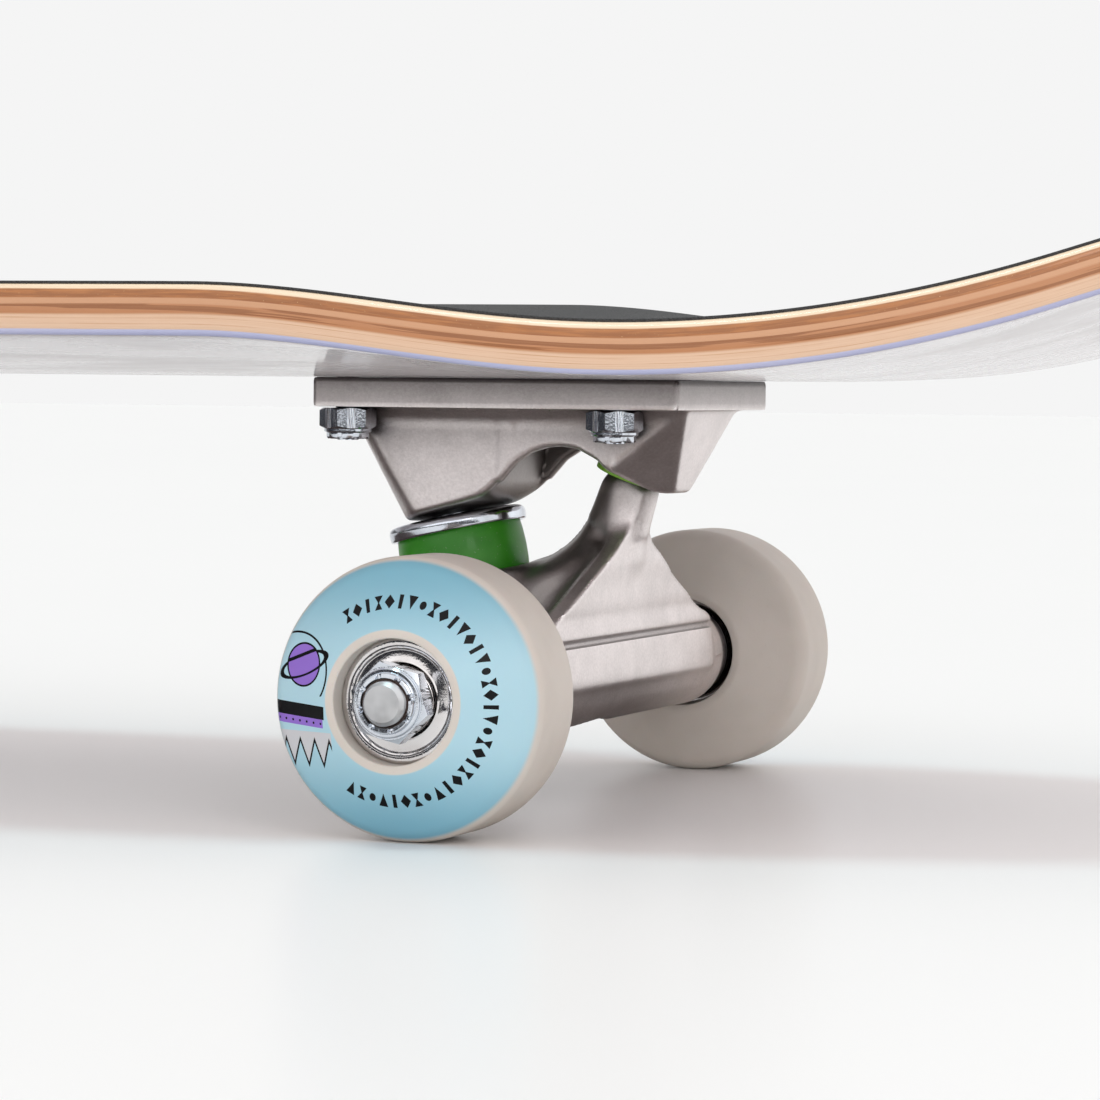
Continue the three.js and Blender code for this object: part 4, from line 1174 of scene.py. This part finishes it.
def add_kingpin_stack(end, direction):
    """The kingpin with its washers, bushings and nut, and the pivot cup and axle of the same truck."""

    def put(grid, where=KINGPIN_FRAME):
        return truck_points(placed(grid, where), direction)

    pin = rod_grid(4.75, -25.2, 35.5, 1.06, [(-25.2, -14)])
    piece(f"{end}_kingpin_shank", put(pin), ZINC, "board", f"{end}_kingpin")
    piece(f"{end}_kingpin_head", put(kingpin_head_grid()), ZINC, "board", None, 28)
    upper = cup_washer_grid(13.5, 1.5, 3.0) + [0, 0, 17.05]
    lower = cup_washer_grid(10.6, 1.5, 2.3) * [1, 1, -1] + [0, 0, -16.9]
    for name, washer in (("upper", upper), ("lower", lower)):
        piece(f"{end}_{name}_washer", put(washer), ZINC, "board", f"{end}_washer_{name}", 40)
    high = bushing_grid([(12.0, 3.55), (12.35, 6.5), (12.45, 9.5), (12.3, 12.5), (11.9, 15.35)])
    low = bushing_grid([(12.0, -3.55), (11.9, -7.0), (11.2, -11.0), (9.1, -13.6), (8.8, -15.2)])
    for name, grid, near, far in (("upper", high, 3.6, 15.2), ("lower", low, -3.6, -14.8)):
        made = piece(f"{end}_{name}_bushing", put(grid), BUSHING, None, f"{end}_bushing_{name}", 50)
        start, finish = (put(np.array([0.0, 0, h])) * MM for h in (near, far))
        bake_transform(made)
    nut_face = turned_down(placed(np.array([0, 0, -17.1]), KINGPIN_FRAME), KINGPIN_TILT)
    add_nut(f"{end}_kingpin_nut", KINGPIN_NUT, 6.8, lambda local: put(local, nut_face), "board")

    cup = ring_grid([(0.01, 12.5), (6.6, 12.5), (7.75, 11.0), (7.75, -0.45), (6.1, -0.45), (6.1, 10.9),
                     (0.01, 10.9)], 0.3, 72)
    piece(f"{end}_pivot_thimble", put(cup, PIVOT_FRAME), CUP, "board", f"{end}_pivot_cup", 40)
    rod = rod_grid(3.97, -101.5, 101.5, 1.06, [(-101.5, -92), (92, 101.5)], 0.75, 0.5)
    rod = truck_points(laid_along_y(rod, 1, 0), direction)
    piece(f"{end}_axle_rod", rod, CUT_STEEL, f"{end}_hanger", f"{end}_axle")


# ---- Castings -----------------------------------------------------------------------------------

CHEEK = 15.6  # half the width of the casting under the plate
BOLT_XS, BOLT_Y, BOLT_HOLE = (-39.73, 14.07), 20.65, 2.7
STIFFENER_PITCH = 8.3
ARCH = [(-11, 78), (-11, 61.4), (-9.5, 63.2), (-7.5, 65.2), (-4.5, 67.1), (-1.5, 68.0), (1.5, 68.3),
        (4.7, 67.8), (8.0, 66.1), (12.0, 63.6), (12, 78)]
POCKET = [(-14.5, 50), (-10.5, 71), (-6, 75), (0, 75), (1.6, 66), (1.6, 50)]
WEDGE = hull_planes([
    (-43.4, CHEEK - 2, 76.4), (-40, CHEEK, 76.4), (-8, CHEEK, 76.4), (-8, CHEEK, 64.8),
    (-11.2, CHEEK, 61.2), (-14.6, CHEEK, 58.6), (-28.1, CHEEK, 54.6), (-31.7, 10, 53.0), (-14.6, 8, 56.8),
])
HOUSING = hull_planes([
    (9.4, CHEEK, 76.4), (9.4, CHEEK, 65.0), (10.8, CHEEK - 0.4, 63.5), (17.3, 6.0, 59.4), (20.9, 4.9, 59.5),
    (27.2, 16.6, 76.4),
])


def baseplate_field(x, y, z):
    """The baseplate: a flat plate, a wedge that falls to the kingpin's boss, two cheeks over an arch
    with a pocket between them, and a tapered housing for the pivot."""
    side = np.abs(y)
    plate = round_box(x, y, z, (-7.5, 0, 78.15), (36.7, 28.4, 2.8), 0.55)
    corner = np.hypot(np.maximum(np.abs(x + 7.5) - 35.5, 0), np.maximum(side - 27.2, 0)) - 1.2
    plate = soft_max(plate, corner, 0.8)
    px, py, along_pin = in_frame(x, y, z, KINGPIN_FRAME)
    pivot_x, pivot_y, pivot_h = in_frame(x, y, z, PIVOT_FRAME)
    from_pin, from_pivot = np.hypot(px, py), np.hypot(pivot_x, pivot_y)
    arch = soft_max(outline_field(x, z, ARCH), side - CHEEK, 1.1)
    pocket = np.maximum(side - 12.2, outline_field(x, z, POCKET))
    wedge = hull_field(x, y, z, WEDGE, 1.1)
    body = soft_min(soft_min(wedge, arch, 0.8), hull_field(x, y, z, HOUSING, 0.9), 0.8)
    body = soft_max(body, -pocket, 1.0)
    whole = soft_min(plate, body, 1.2 + 3.6 * np.clip((26 - x) / 7, 0, 1))
    turns = (x + 7.0) / STIFFENER_PITCH
    along = np.abs(turns - np.round(turns)) * STIFFENER_PITCH
    rib = np.maximum(np.maximum(along - 1.2, np.abs(side - 18.6) - 0.4), np.maximum(74.8 - z, z - 76))
    rib = np.maximum(rib, np.abs(x + 11.0) - 26)
    whole = soft_min(whole, rib, 0.2)
    whole = soft_max(whole, -np.maximum(from_pin - KINGPIN_BORE, 12 - along_pin), 0.4)
    whole = soft_max(whole, -np.maximum(from_pin - 8.6, 34.2 - along_pin), 0.4)
    whole = soft_max(whole, -np.maximum(from_pivot - 8.0, np.maximum(pivot_h - 12.8, -8 - pivot_h)), 0.5)
    for bolt_x in BOLT_XS:
        whole = soft_max(whole, BOLT_HOLE - np.hypot(x - bolt_x, side - BOLT_Y), 0.4)
    return whole


def baseplate_painted_shade(x, y, z):
    """Painted shade: 1 in the pocket between the cheeks, falling to 0 outside it."""
    inside = np.clip((CHEEK - 1.2 - np.abs(y)) / 1.0, 0, 1)
    return inside * np.clip((x + 25) / 5, 0, 1) * np.clip((11 - x) / 3, 0, 1) * np.clip((76 - z) / 2, 0, 1)


# The hanger's face, back and rib at heights above the floor: half widths, and places along X.
FACE_HEIGHTS = [24, 28, 31, 33, 35.4, 38.4, 42.3, 46.2, 50, 53, 56, 62]
FACE_HALF_WIDTHS = [52, 52, 51.5, 49.5, 44.2, 36.7, 26.6, 17.9, 9.7, 5.6, 3.6, 2.0]
FACE_FRONTS = [10.4, 10.4, 10.4, 10.4, 10.4, 10.9, 11.2, 11.8, 12.0, 12.6, 13.2, 13.6]
BACK_HEIGHTS = [24, 30, 36, 40, 44, 46, 49.1, 52, 55, 58.5, 62]
BACKS = [-4, -8, -13, -14, -10.9, -6.8, -1.7, 1.4, 3.8, 6.2, 9.0]
RIB_HEIGHTS = [34, 40, 44, 46, 49.1, 54, 62.5]
RIB_RADII = [11.5, 11, 10, 8.8, 6.8, 5.2, 4.4]
RIB_MIDDLES = [-5.5, -4.5, -0.9, 2.1, 5.1, 7.5, 10.6]
NECK_HEIGHTS = [-9, -6, -2, 1.5, 5.5]  # along the pivot's axis
NECK_RADII = [4.9, 4.9, 4.8, 4.4, 3.9]
TUBE_RADIUS = 10.5
TUBE_HALF_LENGTH = 67.85


def hanger_field(x, y, z):
    """The hanger: an axle tube, a triangular web, the bushings' ring and the pivot's neck and ball.

    The web's front is a face whose half width and place follow the height. Its back sweeps from a
    thin edge at the face's outline to the middle rib in a hollow curve: the thickness is the rib's
    times the share of the width left, to a power.
    """
    side = np.abs(y)
    half = smooth_table(z, FACE_HEIGHTS, FACE_HALF_WIDTHS)
    front = smooth_table(z, FACE_HEIGHTS, FACE_FRONTS)
    back = smooth_table(z, BACK_HEIGHTS, BACKS)
    share = np.clip(1 - side / half, 0, 1)
    thick = 3.4 + 1.2 * smooth((share * half - 2.4) / 1.2) + (front - back - 4.6) * share**2.8
    web = soft_max(x - front, (front - thick - x) * 0.8, 0.7)
    web = soft_max(web, (side - half) * 0.55, 0.7)
    web = soft_max(web, np.maximum(z - 58.5, 24 - z), 0.8)
    rib_radius, rib_middle = (smooth_table(z, RIB_HEIGHTS, t) for t in (RIB_RADII, RIB_MIDDLES))
    rib = soft_max((np.hypot(x - rib_middle, y) - rib_radius) * 0.8, np.maximum(z - 62.0, 34 - z), 1.6)
    from_axle = np.hypot(x, z - AXLE_HEIGHT)
    tube = soft_max(from_axle - TUBE_RADIUS + smooth((side - 60) / 4), side - TUBE_HALF_LENGTH, 1.6)
    bar = round_box(x, y, z, (4.9, 0, 29.2), (5.5, 51, 5.6), 1.5)
    body = soft_min(soft_min(tube, bar, 3.6), web, 2.4)
    body = soft_min(body, rib, 3.0)
    px, py, along_pin = in_frame(x, y, z, KINGPIN_FRAME)
    from_pin = np.hypot(px, py)
    ring = soft_max(from_pin - 15.8, np.abs(along_pin) - 5.0, 1.8)
    body = soft_min(body, ring, 3.0)
    pivot_x, pivot_y, pivot_h = in_frame(x, y, z, PIVOT_FRAME)
    from_pivot = np.hypot(pivot_x, pivot_y)
    neck_radius = smooth_table(pivot_h, NECK_HEIGHTS, NECK_RADII)
    neck = soft_max(from_pivot - neck_radius, np.maximum(pivot_h - 5.5, -9 - pivot_h), 0.5)
    ball = np.sqrt(from_pivot**2 + (pivot_h - 5.5) ** 2) - 5.0
    body = soft_min(body, soft_min(neck, ball, 1.0), 3.0)
    body = soft_max(body, -soft_max(from_pin - 12.9, np.maximum(3.4 - along_pin, along_pin - 16), 0.5), 0.5)
    body = soft_max(body, 7.4 - from_pin + np.maximum(np.abs(along_pin) - 13, 0), 0.4)
    sway = np.maximum(side - 3.2, 0)
    reach = np.hypot(px, sway)
    scoop = soft_max(reach - 12.6, np.maximum(along_pin + 5.2, -17.8 - along_pin), 2.0)
    scoop = soft_min(scoop, np.maximum(reach - 9.4, np.maximum(along_pin + 16, -32 - along_pin)), 1.0)
    seat_below = np.maximum(from_pin - 12.9, np.maximum(along_pin + 3.4, -6.5 - along_pin))
    body = soft_max(body, -soft_min(scoop, seat_below, 0.3), 0.8)
    body = soft_max(body, 4.05 - from_axle, 0.4)
    groove = np.maximum(np.hypot(x - 10.9, (z - 31.8) * 1.1) - 0.75, side - 62)
    body = soft_max(body, -groove, 0.3)
    parting = np.maximum(np.hypot(x - 10.7, z - 25.3) - 0.32, side - 59.0)
    return soft_min(body, parting, 0.3)


def hanger_painted_shade(x, y, z):
    """Painted shade: 1 behind the face's thin edge and in the hollows beside the rib, falling to 0 on
    the face and on the tube."""
    behind = smooth_table(z, FACE_HEIGHTS, FACE_FRONTS) - x
    return np.clip((behind - 2.6) / 2.4, 0, 1) * np.clip((z - 34) / 4, 0, 1) * np.clip((63 - z) / 4, 0, 1)


def add_castings(end, direction):
    """A truck's two castings: the baseplate on the board, and the hanger."""

    def place(points):
        return truck_points(points, direction)

    for name, field, shade_mask, low, high, step, body in (
        ("baseplate", baseplate_field, baseplate_painted_shade, (-46, -30, 50), (31, 30, 82.5), 0.6, "board"),
        ("hanger", hanger_field, hanger_painted_shade, (-40, -69.5, 12.5), (20, 69.5, 75), 0.65, f"{end}_hanger"),
    ):
        made = cast_mesh(name, field, shade_mask, low, high, step, place)
        piece(f"{end}_{name}_casting", made, CAST, body, f"{end}_{name}", 60)


# ---- The board ----------------------------------------------------------------------------------

build_deck()
for end_name, end_direction in (("front", 1), ("rear", -1)):
    add_castings(end_name, end_direction)
    add_kingpin_stack(end_name, end_direction)
    add_deck_fasteners(end_name, end_direction)
    for wheel_side in ("left", "right"):
        add_wheel(end_name, wheel_side, end_direction)


# ---- Floor, light and camera --------------------------------------------------------------------

BACKDROP = 0.913  # strength of the world for the camera
SOFT_LIGHT = 0.86  # and for rays that a matt surface scatters
CARD_RADIUS = 600.0


def staged(name, points, made):
    """A grid with its finish, that isn't part of the board."""
    placed_there = shown(name, grid_mesh(name, points))
    placed_there.data.materials.append(made.material)
    return placed_there


def build_floor():
    """A pale floor: one large sheet with a faint cloud in its tone and gloss. For mirrored rays its colour
    is near black under the board: a painted shadow that only reflections show."""
    made = Finish("pale studio floor", Specular_IOR_Level=0.1)
    cloud = made.noise(made.place, 3, 3, 0.5)
    pale = made.blended(cloud, (0.86, 0.86, 0.86), (0.875, 0.875, 0.875))
    # Painted shadow: mirrored rays see the floor's colour near black under the board.
    painted_shadow_under_board = abs(made.split(made.place)[1]).ramp(0.07, 0.12, 1.0, 0.0)
    mirrored = made.light_path("Is Glossy Ray")
    made.set("Base Color", made.blended(painted_shadow_under_board * mirrored, pale, (0.11, 0.09, 0.085)))
    made.set("Roughness", cloud * 0.04 + 0.3)
    span = np.linspace(-12000, 12000, 9)
    x, y = np.meshgrid(span, span, indexing="ij")
    staged("floor", np.stack([x, y, 0 * x], -1), made)


def build_dark_card():
    """A low dark card bent round the near side, that only mirrored rays see: an arc about the front
    truck. It gives plated metal its dark bands. Rays that start nearer than about half the arc's
    radius pass through it, so the floor at its foot doesn't show it."""
    made = Finish("dark card", Roughness=0.9)
    tone = made.noise(made.place, 3)
    made.set("Base Color", made.blended(tone, (0.010, 0.013, 0.022), (0.016, 0.018, 0.026)))
    made.set("Alpha", made.light_path("Ray Length").ramp(0.32, 0.45))
    turn, z = np.meshgrid(np.radians(np.linspace(-188, -35, 48)), np.array([0.5, 40, 80]), indexing="ij")
    arc = np.stack([AXLE_X + CARD_RADIUS * np.cos(turn), CARD_RADIUS * np.sin(turn), z], -1)
    card = staged("dark_card", arc, made)
    card.visible_camera = card.visible_diffuse = card.visible_shadow = False


def build_world():
    """A pale backdrop for the camera and even, faintly warm soft light. Mirrored rays see it brighter
    behind the board, above it and at the near side, and dark towards the tail."""
    world = bpy.data.worlds.new("studio")
    world.use_nodes = True
    bpy.context.scene.world = world
    made = Nodes(world.node_tree)
    x, y, z = made.split(made.add("TexCoord").outputs["Generated"])
    seen, soft = made.light_path("Is Camera Ray"), made.light_path("Is Diffuse Ray")
    behind = y.ramp(-0.2, 0.6, 0.0, 0.25)
    near_side = y.ramp(-0.9, -0.3, 0.75, 0.0)
    nose_side = x.ramp(0.15, 0.7, 0.0, 0.3)
    above = z.ramp(0.35, 0.8, 0.0, 0.3)
    tail_side = x.ramp(-0.9, -0.5, 0.15, 1.0).at_least(z.ramp(0.2, 0.5))
    mirrored = (behind + near_side + nose_side + above + 0.62) * tail_side
    around = seen * BACKDROP + (seen * -1.0 + 1.0) * (soft * SOFT_LIGHT + (soft * -1.0 + 1.0) * mirrored)
    background = made.tree.nodes["Background"]
    made.feed(background.inputs["Strength"], around.at_most(1.6))
    made.feed(background.inputs["Color"], made.blended(soft, (1, 1, 1), (1.08, 0.985, 0.967)))


def build_lamps():
    """A broad lamp overhead, so far off that its light is even over the whole floor, and a soft
    panel at the near side."""
    overhead = bpy.data.lights.new("overhead", "SUN")
    overhead.energy, overhead.angle, overhead.color = 0.70, math.radians(16), (0.68, 1.03, 1.06)
    shown("overhead", overhead).rotation_euler = (math.radians(2), math.radians(-3), 0)
    panel = bpy.data.lights.new("near_side", "AREA")
    panel.shape, panel.size, panel.size_y, panel.energy = "RECTANGLE", 0.5, 0.9, 5.5
    lamp = shown("near_side", panel)
    lamp.location = (1.3, -1.5, 0.9)
    lamp.rotation_euler = (Vector((0.2, 0, 0.05)) - lamp.location).to_track_quat("-Z", "Y").to_euler()


def build_camera():
    """A long lens low at the near side, turned towards the tail, with a slight dip and roll."""
    data = bpy.data.cameras.new("camera")
    data.sensor_width, data.lens = 36, 142.8
    data.clip_start, data.clip_end = 0.05, 60
    turn, dip, roll = math.radians(19.61), math.radians(2.18), math.radians(0.61)
    forward = Vector((-math.sin(turn) * math.cos(dip), math.cos(turn) * math.cos(dip), -math.sin(dip)))
    right = Vector((math.cos(turn), math.sin(turn), 0))
    up = right.cross(forward)
    across = right * math.cos(roll) + up * math.sin(roll)
    upright = up * math.cos(roll) - right * math.sin(roll)
    rotation = Matrix((across, upright, -forward)).transposed().to_4x4()
    camera = shown("camera", data)
    camera.matrix_world = Matrix.Translation((0.49756, -0.79336, 0.08006)) @ rotation
    bpy.context.scene.camera = camera


build_floor()
build_dark_card()
build_world()
build_lamps()
build_camera()
bpy.context.scene.view_settings.view_transform = "Standard"
